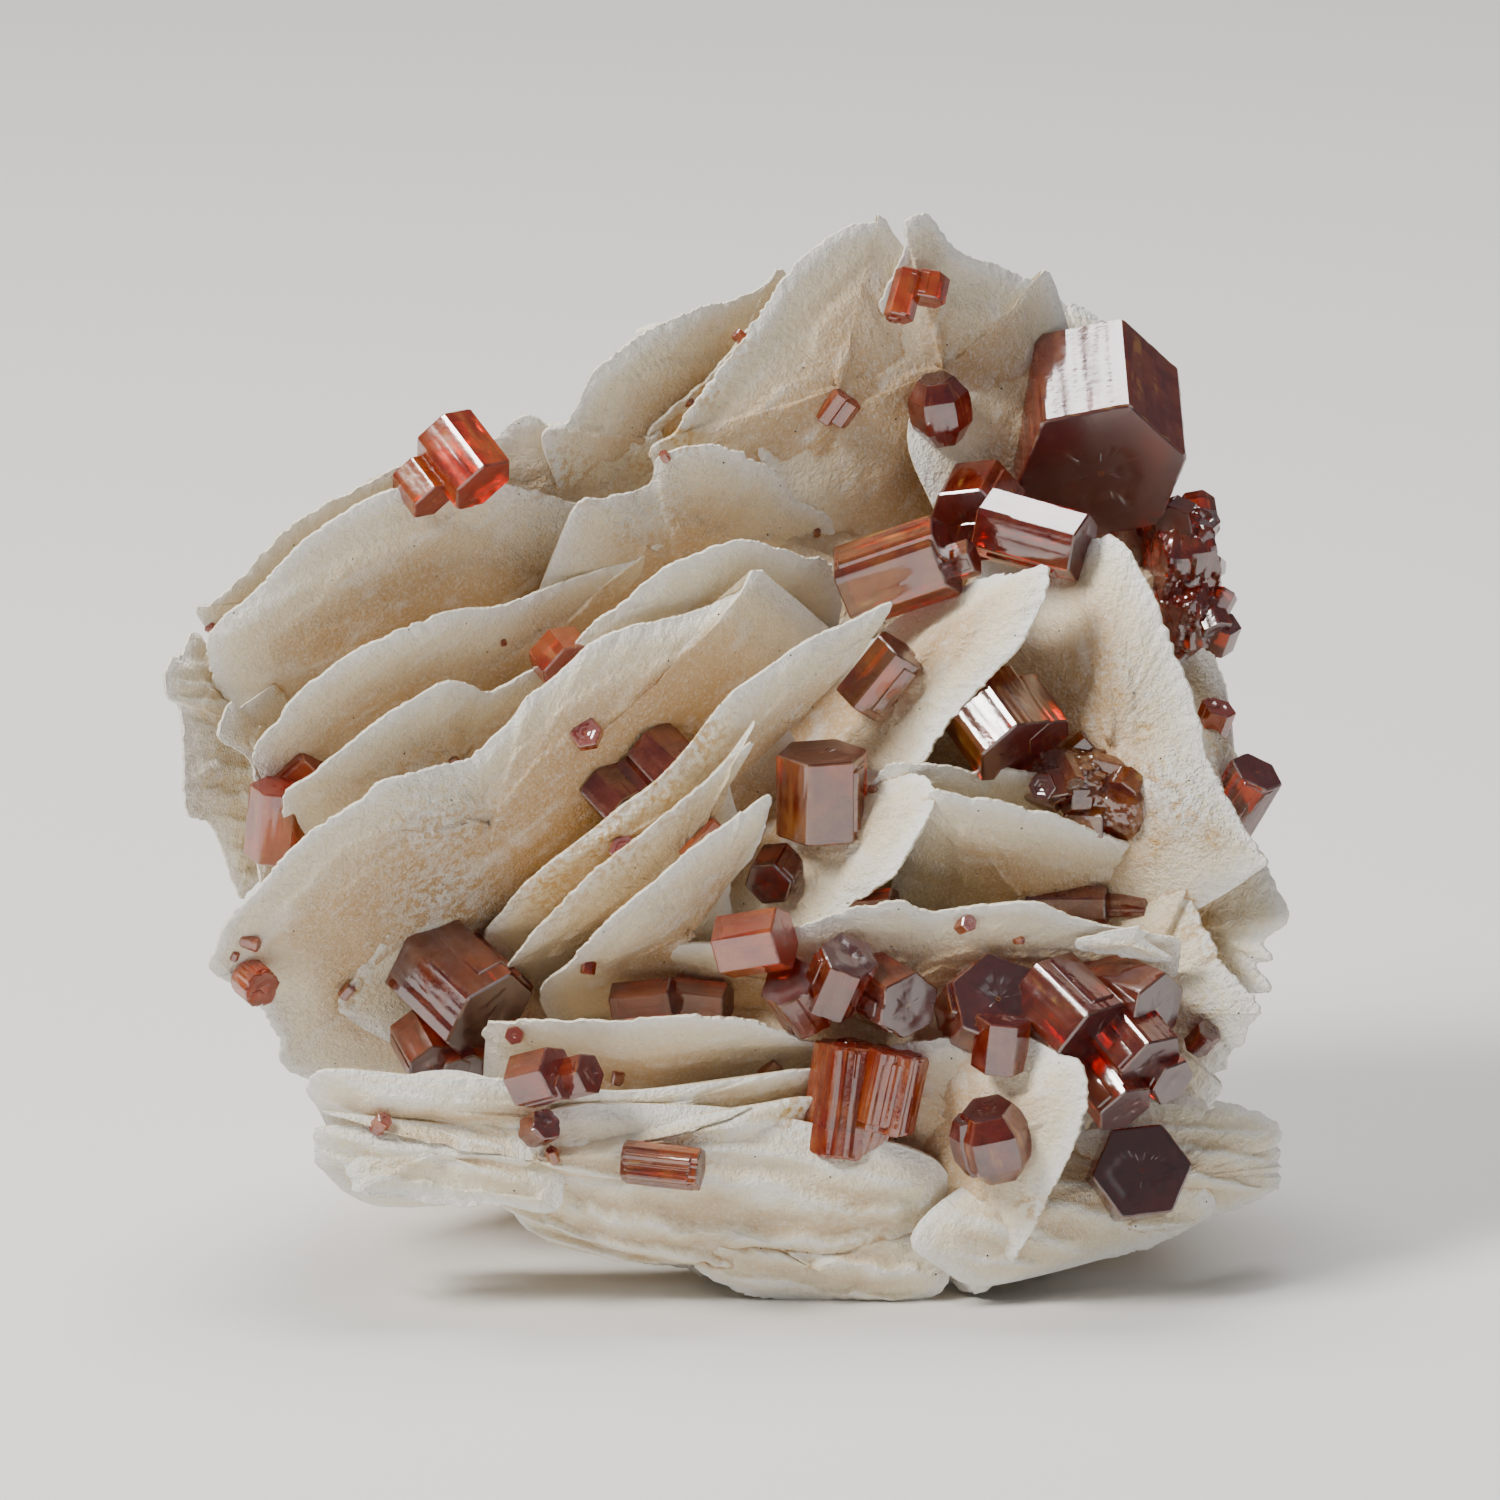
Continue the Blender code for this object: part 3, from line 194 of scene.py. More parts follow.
def front(points):
    """Points seen from the front (right, up, near, in mm) become places in metres: right and up
    shrink with nearness as in the photograph's perspective, the picture plane leans back by the
    rise of the view, and the whole is shifted to the frame's origin."""
    right, up, near = np.moveaxis(np.asarray(points, float), -1, 0)
    closer = 1.0 - near / VIEW_DISTANCE
    above = (up - VIEW_CENTRE_UP) * closer
    back = above * math.sin(VIEW_RISE) - near * math.cos(VIEW_RISE)
    height = above * math.cos(VIEW_RISE) + near * math.sin(VIEW_RISE) + CENTRE_HEIGHT
    return (np.stack([right * closer, back, height], axis=-1) + ORIGIN_SHIFT) * MM


def seen_from_front(places):
    """The reverse of front(): places in metres become right, up and near in millimetres."""
    across, back, height = np.moveaxis(places / MM - ORIGIN_SHIFT, -1, 0)
    height = height - CENTRE_HEIGHT
    above = back * math.sin(VIEW_RISE) + height * math.cos(VIEW_RISE)
    near = height * math.sin(VIEW_RISE) - back * math.cos(VIEW_RISE)
    closer = 1.0 - near / VIEW_DISTANCE
    return np.stack([across / closer, above / closer + VIEW_CENTRE_UP, near], axis=-1)


def above_ground(places):
    """The places, with those below the ground raised to it."""
    places[..., 2] = np.maximum(places[..., 2], 0.0)
    return places


def uneven(points, size, seed):
    """Smooth unevenness from -1 to 1: random numbers at the corners of a cubic lattice with cells
    of the given size, blended between the corners by 3t² - 2t³."""
    numbers = np.random.default_rng(seed).uniform(-1, 1, (LATTICE, LATTICE, LATTICE))
    scaled = points / size
    cell = np.floor(scaled).astype(int)
    t = scaled - cell
    t = t * t * (3 - 2 * t)
    total = np.zeros(points.shape[:-1])
    for corner in np.ndindex(2, 2, 2):
        weight = np.prod(np.where(corner, t, 1 - t), axis=-1)
        x, y, z = np.moveaxis((cell + corner) % LATTICE, -1, 0)
        total += weight * numbers[x, y, z]
    return total


def waves(base, points, seed, *parts):
    """A number and a sum of uneven parts, each part given by its height, the size of its cells and
    what is added to the seed."""
    return sum((height * uneven(points, size, seed + more) for height, size, more in parts), base)


def smooth_step(value):
    """0 below 0, 1 above 1 and 3t² - 2t³ between."""
    t = np.clip(value, 0, 1)
    return t * t * (3 - 2 * t)


def face_depth(blade, right, up):
    """How near the middle plane of a blade is: it falls away from the mean of its rim by the
    tangent of its lean, along the way that its face looks."""
    middle_right, middle_up = np.mean(blade["rim"], axis=0)
    looks = math.radians(blade["looks"])
    run = (right - middle_right) * math.cos(looks) + (up - middle_up) * math.sin(looks)
    return blade["near"] - math.tan(math.radians(blade["leans"])) * run


def blade_outline(blade, chance):
    """The rim's points on the blade's plane and a rounded back end, in turn about their middle.
    Its ends may bend away from the viewer, by a square law over 45% of its length."""
    rim = np.array([(right, up, face_depth(blade, right, up)) for right, up in blade["rim"]])
    looks, leans = math.radians(blade["looks"]), math.radians(blade["leans"])
    way = np.array((math.cos(looks), math.sin(looks), 0.0))
    towards = np.array((0.0, 0.0, 1.0))
    normal = way * math.sin(leans) + towards * math.cos(leans)
    away = way * math.cos(leans) - towards * math.sin(leans)
    chord = rim[-1] - rim[0]
    along = chord / np.linalg.norm(chord)
    inward = away - along * away.dot(along)
    inward *= blade["reach"] / np.linalg.norm(inward)
    turns = np.pi * np.arange(1, BACK_POINTS + 1) / (BACK_POINTS + 1)
    depths = np.sin(turns) ** 0.6 * chance.uniform(0.9, 1.08, BACK_POINTS)
    back = (rim[0] + rim[-1]) / 2 + np.outer(np.cos(turns), chord / 2) + np.outer(depths, inward)
    outline = np.concatenate([rim, back])
    share = (outline - rim[0]) @ chord / chord.dot(chord)
    for sink, past_end in zip(blade["sinks"], (share, 1 - share)):
        outline[:, 2] -= sink * np.maximum(0, 1 - past_end / 0.45) ** 2
    free = np.arange(len(outline)) < len(rim)
    centre = outline.mean(axis=0)
    order = np.argsort(np.arctan2((outline - centre) @ np.cross(normal, along), (outline - centre) @ along))
    return outline[order], free[order], centre, normal, along


def smooth_curve(points, free):
    """A closed Catmull-Rom curve through the points, sampled closely along the free rim."""
    before, after = np.roll(points, 1, axis=0), np.roll(points, -1, axis=0)
    beyond = np.roll(points, -2, axis=0)
    open_rim = free & np.roll(free, -1)
    spacing = np.where(open_rim, RIM_SAMPLES_PER_MM, HIDDEN_SAMPLES_PER_MM)
    counts = np.ceil(np.linalg.norm(after - points, axis=1) * spacing).astype(int)
    part = np.repeat(np.arange(len(points)), counts)
    start = np.repeat(np.cumsum(counts) - counts, counts)
    t = ((np.arange(len(part)) - start) / counts[part])[:, None]
    p0, p1, p2, p3 = before[part], points[part], after[part], beyond[part]
    curve = 2 * p1 + (p2 - p0) * t + (2 * p0 - 5 * p1 + 4 * p2 - p3) * t ** 2
    return (curve + (3 * p1 - p0 - 3 * p2 + p3) * t ** 3) / 2, open_rim[part]


def circle(around):
    """Equal turns around a circle of radius 1, and its points there."""
    turn = np.linspace(0, 2 * np.pi, around, endpoint=False)
    return turn, np.stack([np.cos(turn), np.sin(turn), np.zeros(around)], axis=-1)


def closed_grid(rings, first_pole, last_pole, values):
    """A closed surface from rings of equal length: quads between the rings, and a fan of triangles
    to a pole at each end. Each point carries a number, which is 0 at the poles."""
    count, around = rings.shape[:2]
    points = np.concatenate([rings.reshape(-1, 3), [first_pole, last_pole]])
    ring, step = np.meshgrid(np.arange(count - 1), np.arange(around), indexing="ij")
    following = (step + 1) % around
    quads = np.stack([ring * around + step, ring * around + following,
                      (ring + 1) * around + following, (ring + 1) * around + step], axis=-1).reshape(-1, 4)
    step = np.arange(around)
    following = (step + 1) % around
    first = np.full(around, count * around)
    last = (count - 1) * around
    start_fan = np.stack([first, following, step], axis=-1)
    end_fan = np.stack([first + 1, last + step, last + following], axis=-1)
    carried = np.concatenate([np.broadcast_to(values, (count, around)).ravel(), (0, 0)])
    return points, quads.tolist() + start_fan.tolist() + end_fan.tolist(), carried


def blade_surface(blade, fold, layered, chance, seed):
    """One blade. Its outline is the smooth curve with fine teeth on the free rim. Going in from
    the rim by a distance d, the face rises from a thin edge by 1 - exp(-d / 2.6 mm), then in two
    small steps of growth, with long low ridges and wider folds along the blade. A layered face has
    a ledge at every 1.2 mm of its height, which comes forward towards its upper edge. The back is
    flat."""
    points, free, centre, normal, along = blade_outline(blade, chance)
    curve, open_rim = smooth_curve(points, free)
    outwards = curve - centre
    radius = np.linalg.norm(outwards, axis=1, keepdims=True)
    outwards = outwards / radius
    broken = smooth_step(0.5 + uneven(curve, 3.0, seed + 1))
    teeth = 0.12 * uneven(curve, 1.6, seed)
    for depth, size, more in ((0.26, 0.9, 2), (0.20, 0.4, 3)):
        teeth += depth * broken * (0.4 - np.abs(uneven(curve, size, seed + more)))
    teeth += 0.08 * uneven(curve, 0.16, seed + 13)
    curve = curve + outwards * (teeth * open_rim)[:, None]

    share = (np.arange(FACE_RINGS) / FACE_RINGS)[:, None, None] ** 1.5
    flat = curve - outwards * (radius * share)
    distance = (radius * share)[..., 0]
    rise = blade["thick"] * 0.8 - RIM_THICKNESS
    step_line = waves(2.6, flat, seed, (1.5, 5.0, 4), (0.25, 0.7, 5))
    second_line = waves(5.2, flat, seed, (2.2, 6.0, 6), (0.3, 0.9, 7))
    steps = smooth_step((distance - step_line) / 0.3) + smooth_step((distance - second_line) / 0.35)
    across = np.cross(normal, along)
    stretched = np.stack([flat @ along / 7.0, flat @ across, flat @ normal], axis=-1)
    settled = smooth_step(distance / 1.2)
    ridges = waves(0, stretched, seed, (0.14, 1.5, 8), (0.05, 0.5, 9), (fold, 3.2, 12))
    height = RIM_THICKNESS + (rise - 0.3) * (1 - np.exp(-distance / 2.6)) + 0.15 * steps + ridges * settled
    height += 0.06 * uneven(flat, 0.35, seed + 10) * (1 - 0.7 * settled)
    layer = flat @ (0.12, 1, 0) / 1.2 + 0.5 * uneven(flat * (0.25, 1, 0), 2.2, seed + 14)
    layer += 0.15 * uneven(flat, 0.8, seed + 15)
    ledge = smooth_step(np.mod(layer, 1) / 0.8) * smooth_step((1 - np.mod(layer, 1)) / 0.16)
    height += layered * ledge * settled
    lowest = -0.3 * blade["thick"]

    def bend(places):
        return 0.3 * uneven(places * np.array((1, 1, 0)), 6.0, seed + 11)

    face = flat + normal * (lowest + height + bend(flat))[..., None]

    share = (np.arange(BACK_RINGS, -1, -1) / (BACK_RINGS + 1))[:, None, None] ** 1.3
    flat_back = curve - outwards * (radius * share)
    back = flat_back + normal * (lowest + bend(flat_back))[..., None]
    rings = np.concatenate([back, face])
    back_pole = centre + normal * lowest
    face_pole = centre + normal * (lowest + height[-1].mean())
    # The painted light: a white highlight at the rim and on the ledges of a layered face, fading inwards to
    # painted peach shade; the back carries 0.4.
    rim_light_and_shade = np.maximum(np.exp(-distance / PAINTED_RIM_LIGHT_FADE), (layered > 0) * (0.25 + 0.6 * ledge ** 2) * settled)
    rim = np.concatenate([np.full((len(back), len(curve)), 0.4), rim_light_and_shade])
    surface, faces, rim = closed_grid(rings, back_pole, face_pole, rim)
    return above_ground(front(surface)), faces, rim


def new_object(name, data):
    """An object in the scene."""
    item = bpy.data.objects.new(name, data)
    bpy.context.scene.collection.objects.link(item)
    return item


def new_piece(name, points, faces, values):
    """A mesh object at the origin, with its place in its mesh and its faces outwards. The numbers
    that its points carry are kept as "rim": on barite 1 on a blade's rim and 0 far from it, which sets a
    painted rim highlight and painted valley shade; on vanadinite its streaks and caps."""
    mesh = bpy.data.meshes.new(name)
    mesh.from_pydata(points, [], faces)
    mesh.attributes.new("rim", "FLOAT", "POINT").data.foreach_set("value", values)
    corners = np.empty(len(mesh.vertices) * 3)
    mesh.vertices.foreach_get("co", corners)
    mesh.calc_loop_triangles()
    triangles = np.empty(len(mesh.loop_triangles) * 3, dtype=np.int32)
    mesh.loop_triangles.foreach_get("vertices", triangles)
    a, b, c = np.moveaxis(corners.reshape(-1, 3)[triangles.reshape(-1, 3)], 1, 0)
    if np.einsum("ij,ij->i", a, np.cross(b, c)).sum() < 0:
        mesh.flip_normals()
    return new_object(name, mesh)


def united(name, surfaces):
    """One closed piece from overlapping closed surfaces: the first is joined with the others."""
    piece = new_piece(name, *surfaces[0])
    if len(surfaces) == 1:
        return piece
    others = bpy.data.collections.new(name + "_others")
    bpy.context.scene.collection.children.link(others)
    for surface in surfaces[1:]:
        other = new_piece(name + "_other", *surface)
        bpy.context.scene.collection.objects.unlink(other)
        others.objects.link(other)
    join = piece.modifiers.new("grown together", "BOOLEAN")
    join.operation = "UNION"
    join.solver = "MANIFOLD"
    join.operand_type = "COLLECTION"
    join.collection = others
    evaluated = piece.evaluated_get(bpy.context.evaluated_depsgraph_get())
    mesh = bpy.data.meshes.new_from_object(evaluated)
    piece.modifiers.clear()
    piece.data = mesh
    for other in list(others.objects):
        bpy.data.objects.remove(other)
    bpy.data.collections.remove(others)
    return piece


def drop_hollows(piece, fewest_points):
    """Deletes the small loose parts of a piece, which are hollows closed in by the joining."""
    shape = bmesh.new()
    shape.from_mesh(piece.data)
    waiting = set(shape.verts)
    while waiting:
        newest = {waiting.pop()}
        part = set(newest)
        while newest:
            newest = {link.other_vert(point) for point in newest for link in point.link_edges} - part
            part |= newest
        waiting -= part
        if len(part) < fewest_points:
            for point in part:
                shape.verts.remove(point)
    shape.to_mesh(piece.data)
    shape.free()


def finish(piece, sharp_angle, material):
    """Smooth shading with sharp edges where faces meet at more than the angle, and one material
    for the whole piece, which rides on the part's only body."""
    mesh = piece.data
    mesh.polygons.foreach_set("use_smooth", np.ones(len(mesh.polygons), dtype=bool))
    mesh.set_sharp_from_angle(angle=math.radians(sharp_angle))
    mesh.materials.clear()
    mesh.materials.append(material)
    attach(piece, "root")


# Which blades make up each piece, and the way its growth streaks run, in degrees from the right.
BARITE_PIECES = {
    "barite_summit": (("summit_back", "summit_lath", "summit_left", "summit_front", "summit_right",
                       "shoulder"), 50),
    "barite_left_shoulder": (("left_outer", "left_broad", "saddle", "left_post", "left_post_inner"), 32),
    "barite_left_terraces": (("left_second", "left_third", "middle_lobe"), 33),
    "barite_great_blade": (("great_diagonal", "diagonal_step", "stained_blade", "tongue_upper",
                            "tongue_lower"), 38),
    "barite_crossing": (("cross_blade", "cross_lower", "gallery_back", "gallery_shelf",
                         "curved_right"), 5),
    "barite_shelves": (("long_shelf", "splinter", "lower_shelf", "lilac_face", "foot_shelf",
                        "white_tongue"), 2),
    "barite_keel": (("heel_left", "keel", "keel_lens", "right_foot", "right_sole"), 0),
    "barite_right_wall": (("right_wall", "right_leaf", "right_fin", "right_ridge"), -65),
}

# Blades whose faces are folded more than the rest, in millimetres.
FOLDS = {"summit_front": 0.75, "summit_left": 0.6, "summit_back": 0.4, "keel": 0.45, "left_broad": 0.3,
         "great_diagonal": 0.35, "right_wall": 0.4, "saddle": 0.3, "heel_left": 0.3, "lilac_face": 0.3}

# Blades whose faces show the layers that they are made of, and how far each layer stands out.
LAYERED = {"keel": 0.32, "keel_lens": 0.28, "heel_left": 0.32, "white_tongue": 0.2, "right_foot": 0.14,
           "foot_shelf": 0.1, "right_sole": 0.3, "left_post": 0.12}

# Barite colours. The white is the barite's own in its streaks and sugar, and is also painted on the rims as a
# highlight; the valley colour is painted shade.
BARITE_WHITE_AND_RIM_LIGHT = (0.92, 0.90, 0.85, 1)
BARITE_CREAM = (0.86, 0.755, 0.54, 1)
BARITE_VALLEY_SHADE = (0.60, 0.38, 0.18, 1)
BARITE_GREY = (0.64, 0.61, 0.55, 1)
SPECK_COLOUR = (0.03, 0.02, 0.015, 1)
OCHRE = (0.62, 0.36, 0.08, 1)


class Look:
    """A new material with its Principled shader, and short ways to add nodes to it, which give the
    new node's output. What goes in is a number, a colour or the output of another node."""

    def __init__(self, name):
        self.material = bpy.data.materials.new(name)
        self.material.use_nodes = True
        self.nodes = self.material.node_tree.nodes
        self.links = self.material.node_tree.links
        self.place = self.add("TexCoord", "Object")

    def put(self, node, inputs):
        for key, value in inputs.items():
            if isinstance(value, bpy.types.NodeSocket):
                self.links.new(value, node.inputs[key])
            else:
                node.inputs[key].default_value = value

    def add(self, kind, output, inputs=None, **settings):
        node = self.nodes.new("ShaderNode" + kind)
        for key, value in settings.items():
            setattr(node, key, value)
        self.put(node, inputs or {})
        return node.outputs[output]

    def noise(self, size_mm, detail, place=None):
        return self.add("TexNoise", "Fac", {"Scale": 1 / (size_mm * MM), "Detail": detail,
                                            "Vector": place or self.place})

    def cells(self, size_mm):
        return self.add("TexVoronoi", "Distance", {"Scale": 1 / (size_mm * MM), "Vector": self.place})

    def number(self, attribute):
        return self.add("Attribute", "Fac", attribute_name=attribute)

    def ramp(self, source, low, high, low_value=0.0, high_value=1.0):
        return self.add("MapRange", "Result", {"Value": source, "From Min": low, "From Max": high,
                                               "To Min": low_value, "To Max": high_value},
                        interpolation_type="SMOOTHSTEP")

    def blend(self, factor, first, second):
        return self.add("Mix", 2, {0: factor, 6: first, 7: second}, data_type="RGBA")

    def combine(self, operation, first, second):
        return self.add("Math", 0, {0: first, 1: second}, operation=operation)

    def bump(self, height, strength, distance_mm):
        return self.add("Bump", "Normal", {"Strength": strength, "Distance": distance_mm * MM,
                                           "Height": height})


def barite_material(name, streak_angle):
    """Milky barite: cream faces with a painted white highlight on the rims and painted peach shade in the
    valleys, long faint streaks along the blades, a few black specks, and ochre where iron water ran."""
    look = Look(name)
    along = look.add("Mapping", "Vector", {"Rotation": (0, -math.radians(streak_angle), 0),
                                           "Scale": (9, 1, 1), "Vector": look.place},
                     vector_type="TEXTURE")
    streaks = look.noise(0.9, 4, along)
    clouds = look.noise(1.7, 5)
    mottle = look.noise(0.35, 4)
    rim, sugar, stain = (look.number(attribute) for attribute in ("rim", "sugar", "stain"))
    # Painted shade: peach where a point is far from a blade's rim, cream nearer to it, broken up by clouds.
    depth = look.combine("SUBTRACT", rim, look.combine("MULTIPLY", clouds, 0.35))
    colour = look.blend(look.ramp(depth, -0.22, 0.45), BARITE_VALLEY_SHADE, BARITE_CREAM)
    bands = look.combine("MULTIPLY", streaks, clouds)
    specks = look.combine("MULTIPLY", look.ramp(look.cells(1.0), 0.035, 0.06, 1, 0),
                          look.ramp(clouds, 0.42, 0.48))
    for share, over in (
            # The painted highlight: white where a point is close to a blade's rim.
            (look.ramp(rim, 0.55, 0.97), BARITE_WHITE_AND_RIM_LIGHT),
            (look.ramp(bands, 0.27, 0.42, 0, 0.45), BARITE_WHITE_AND_RIM_LIGHT),
            (look.ramp(mottle, 0.42, 0.72, 0, 0.2), BARITE_GREY),
            (look.ramp(look.noise(0.16, 3), 0.50, 0.66, 0, 0.3), BARITE_WHITE_AND_RIM_LIGHT),
            (look.combine("MULTIPLY", sugar, look.ramp(mottle, 0.42, 0.55)), BARITE_WHITE_AND_RIM_LIGHT),
            (look.combine("MULTIPLY", stain, look.ramp(mottle, 0.42, 0.62)), OCHRE),
            (specks, SPECK_COLOUR)):
        colour = look.blend(share, colour, over)

    grain = look.combine("ADD", look.noise(0.13, 3), look.combine("MULTIPLY", look.cells(0.34), 0.6))
    grain = look.combine("MULTIPLY", grain, look.combine("ADD", sugar, 0.55))
    relief = look.combine("ADD", look.combine("MULTIPLY", streaks, 0.6), grain)
    look.put(look.nodes["Principled BSDF"], {
        "Base Color": colour, "IOR": 1.6, "Roughness": look.ramp(streaks, 0.3, 0.7, 0.38, 0.6),
        "Normal": look.bump(relief, 1.0, 0.2)})
    return look.material


# Where iron water left ochre, and where the barite is broken to white sugar: places seen from the
# front, their reach and how strong they are. They show on all that is nearer than a depth.
STAINS = [((-9, 19), 2, 0.8), ((-6.5, 20.8), 2, 0.9), ((-4.2, 23), 1.8, 0.8),
          ((-2.2, 25.3), 1.6, 0.8), ((-3.2, 38.8), 1, 0.9), ((-2, 40.8), 0.9, 0.8),
          ((-0.6, 42.8), 0.8, 0.6), ((-8, 37.2), 1.6, 0.7), ((-5.2, 37.5), 1.3, 0.7),
          ((-9.5, 36.8), 1.2, 0.6), ((-17.8, 14.2), 1.1, 0.8), ((2, 8.6), 1, 1),
          ((16.3, 27), 0.7, 1), ((17.6, 25.5), 0.7, 1), ((20.6, 20.8), 0.7, 0.9),
          ((19.8, 17), 1, 0.8), ((20.6, 15.8), 0.8, 0.7), ((4.5, 3.6), 2, 0.35),
          ((-2.5, 3.8), 1.5, 0.3), ((18, 20.6), 1, 0.8), ((12.5, 4.4), 0.6, 1)]
SUGARY = [((-5, 36.2), 1.8, 1), ((-9, 36.6), 2.2, 0.8), ((-14, 22.2), 2.4, 0.7),
          ((-13.6, 18.2), 2.2, 0.7), ((20, 22.5), 2.8, 0.9), ((17.5, 27.5), 2, 0.5),
          ((18, 42), 1.6, 0.8), ((-24, 24), 2, 0.6), ((21.5, 13.5), 2, 0.7),
          ((-2, 7), 1.6, 0.5), ((-18, 5.8), 2, 0.6)]
PATCHES_NEARER_THAN = -14


def add_patches(piece, attribute, patches):
    """A number at each point of the piece's front: the strongest of the patches, each falling off
    from its middle by exp(-(distance / reach)²)."""
    places = np.empty(len(piece.data.vertices) * 3)
    piece.data.vertices.foreach_get("co", places)
    seen = seen_from_front(places.reshape(-1, 3))
    value = np.zeros(len(seen))
    for middle, reach, strength in patches:
        distance = np.linalg.norm(seen[:, :2] - middle, axis=1)
        value = np.maximum(value, strength * np.exp(-(distance / reach) ** 2))
    value *= seen[:, 2] > PATCHES_NEARER_THAN
    layer = piece.data.attributes.new(attribute, "FLOAT", "POINT")
    layer.data.foreach_set("value", value)


def finish_barite(piece, streak_angle):
    """Gives a barite piece its shading, patches, material and place in the part."""
    finish(piece, 38, barite_material(piece.name, streak_angle))
    add_patches(piece, "stain", STAINS)
    add_patches(piece, "sugar", SUGARY)
    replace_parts(piece, "barite_matrix")


chance = np.random.default_rng(7)
for order, (name, (blades, streak_angle)) in enumerate(BARITE_PIECES.items()):
    surfaces = [blade_surface(BLADES[blade], FOLDS.get(blade, 0.15), LAYERED.get(blade, 0), chance,
                              100 * order + 13 * place) for place, blade in enumerate(blades)]
    finish_barite(united(name, surfaces), streak_angle)


# Massive barite.
# Uneven lumps fill the room between the blades and behind them, and more blades, large and small,
# cover the back. Two of the lumps are the feet that it rests on, worn flat.
LUMPS = {
    "heart": ((-1, 8, 21), (13, 6, 12)),
    "crown": ((6, 14, 33), (9, 4, 9)),
    "shoulder_mass": ((-12, 10, 27), (9, 4, 7)),
    "right_mass": ((14, 9, 21), (7, 5, 12)),
    "base": ((1, 3, 8.5), (15, 9, 8)),
    "left_foot": ((-10, 11, 6), (6, 5, 7)),
    "right_foot_mass": ((13, 9, 6), (7, 6, 7)),
    "right_sugar": ((19.4, 0, 19.5), (2.8, 3.5, 5)),
}

LUMP_ROUGHNESS = 0.09

# Blades of the hidden back: middle, the way they face (degrees, 0 right, 90 back), lean, half
# width, half height and thickness.
BACK_BLADES = {
    "back_high": ((3, 16, 36), 80, 30, 9, 7, 1.8),
    "back_upper": ((5, 15, 30), 85, 32, 11, 8, 1.6),
    "back_left": ((-12, 14, 23), 110, 30, 9, 8, 1.8),
    "back_middle": ((1, 15, 21), 90, 28, 11, 8, 1.8),
    "back_right": ((13, 14, 25), 65, 25, 8, 9, 1.8),
    "back_low": ((-3, 14, 13), 95, 22, 11, 8, 2),
    "back_low_right": ((11, 14, 14), 75, 20, 8, 8, 2),
}
SMALL_BACK_BLADES = 22


def broken_ball(chance, planes, nearest, around, rings, shape, value):
    """A closed surface cut by many planes with random turns and distances: shape() turns the
    directions from its middle, and how far the nearest plane is in each, into places."""
    normals = chance.normal(size=(planes, 3))
    normals /= np.linalg.norm(normals, axis=1, keepdims=True)
    reach = chance.uniform(nearest, 1.0, planes)
    turn, _ = circle(around)
    rise = np.linspace(0, np.pi, rings + 2)[1:-1, None]
    ball = np.stack([np.sin(rise) * np.cos(turn), np.sin(rise) * np.sin(turn),
                     np.cos(rise) * np.ones(around)], axis=-1)
    poles = np.array(((0, 0, 1.0), (0, 0, -1.0)))
    solid, ends = (shape(unit, np.min(reach / np.maximum(unit @ normals.T, 0.05), axis=-1))
                   for unit in (ball, poles))
    return closed_grid(solid, *ends, value)


def lump_surface(middle, half_sizes, seed):
    """A broken mass, made uneven in three sizes and pressed flat at the ground."""
    def shape(unit, radius):
        solid = unit * half_sizes + middle
        swell = radius + LUMP_ROUGHNESS * waves(0, solid, seed, (1, 4.0, 0), (0.5, 1.4, 1), (0.3, 0.5, 2))
        return (above_ground(unit * half_sizes * swell[..., None] + middle) + ORIGIN_SHIFT) * MM

    # Every point carries 0.25, which puts the lumps partly in the painted peach shade.
    return broken_ball(np.random.default_rng(seed), 46, 0.86, 140, 70, shape, 0.25)


def back_blade_surface(middle, faces, leans, half_width, half_height, thick, seed, around=180, rings=17):
    """A blade of the back: a plate cut by seven straight edges with random turns and distances,
    finely broken, thin at its edge and thicker inwards by 1 - exp(-distance / 1 mm), stretched,
    tilted and set in place."""
    turn, ring = circle(around)
    chance = np.random.default_rng(seed)
    edges = np.arange(7) * 2 * np.pi / 7 + chance.uniform(-0.35, 0.35, 7)
    cut = chance.uniform(0.8, 1.0, (7, 1)) / np.maximum(np.cos(turn - edges[:, None]), 0.3)
    cut = np.minimum(cut.min(axis=0), 1.12)
    ring *= np.array((half_width, half_height, 1.0))
    edge = cut * waves(0.98, ring, seed, (0.06, 2.5, 0), (0.03, 0.9, 1))
    edge += 0.02 * uneven(ring, 0.4, seed + 2)
    share = (np.arange(rings) / rings)[:, None, None] ** 1.4
    flat = ring * edge[:, None] * (1 - share)
    distance = share[..., 0] * np.linalg.norm(ring, axis=1)
    step_line = 2.4 + 1.2 * uneven(flat, 4.0, seed + 3)
    rise = thick / 2 * (1 - np.exp(-distance)) + 0.12 * smooth_step((distance - step_line) / 0.3)
    rise += 0.12 * uneven(flat * np.array((1.0, 0.15, 1.0)), 1.3, seed + 4) * smooth_step(distance)
    bend = 0.5 * uneven(flat, 5.0, seed + 5)
    upper = flat + np.stack([0 * rise, 0 * rise, 0.15 + rise + bend], axis=-1)
    lower = flat + np.stack([0 * rise, 0 * rise, bend - 0.15 - rise], axis=-1)
    # A painted highlight at the edge of each back blade, fading to painted shade inwards.
    rim = 0.7 * np.exp(-np.concatenate([distance[::-1], distance]))
    surface, quads, rim = closed_grid(np.concatenate([lower[::-1], upper]), lower[-1].mean(axis=0),
                                      upper[-1].mean(axis=0), rim)
    tip, swing = math.radians(leans - 90), math.radians(faces - 90)
    x, y, z = surface.T
    y, z = y * math.cos(tip) - z * math.sin(tip), y * math.sin(tip) + z * math.cos(tip)
    x, y = x * math.cos(swing) - y * math.sin(swing), x * math.sin(swing) + y * math.cos(swing)
    return (above_ground(np.stack([x, y, z], axis=-1) + middle) + ORIGIN_SHIFT) * MM, quads, rim


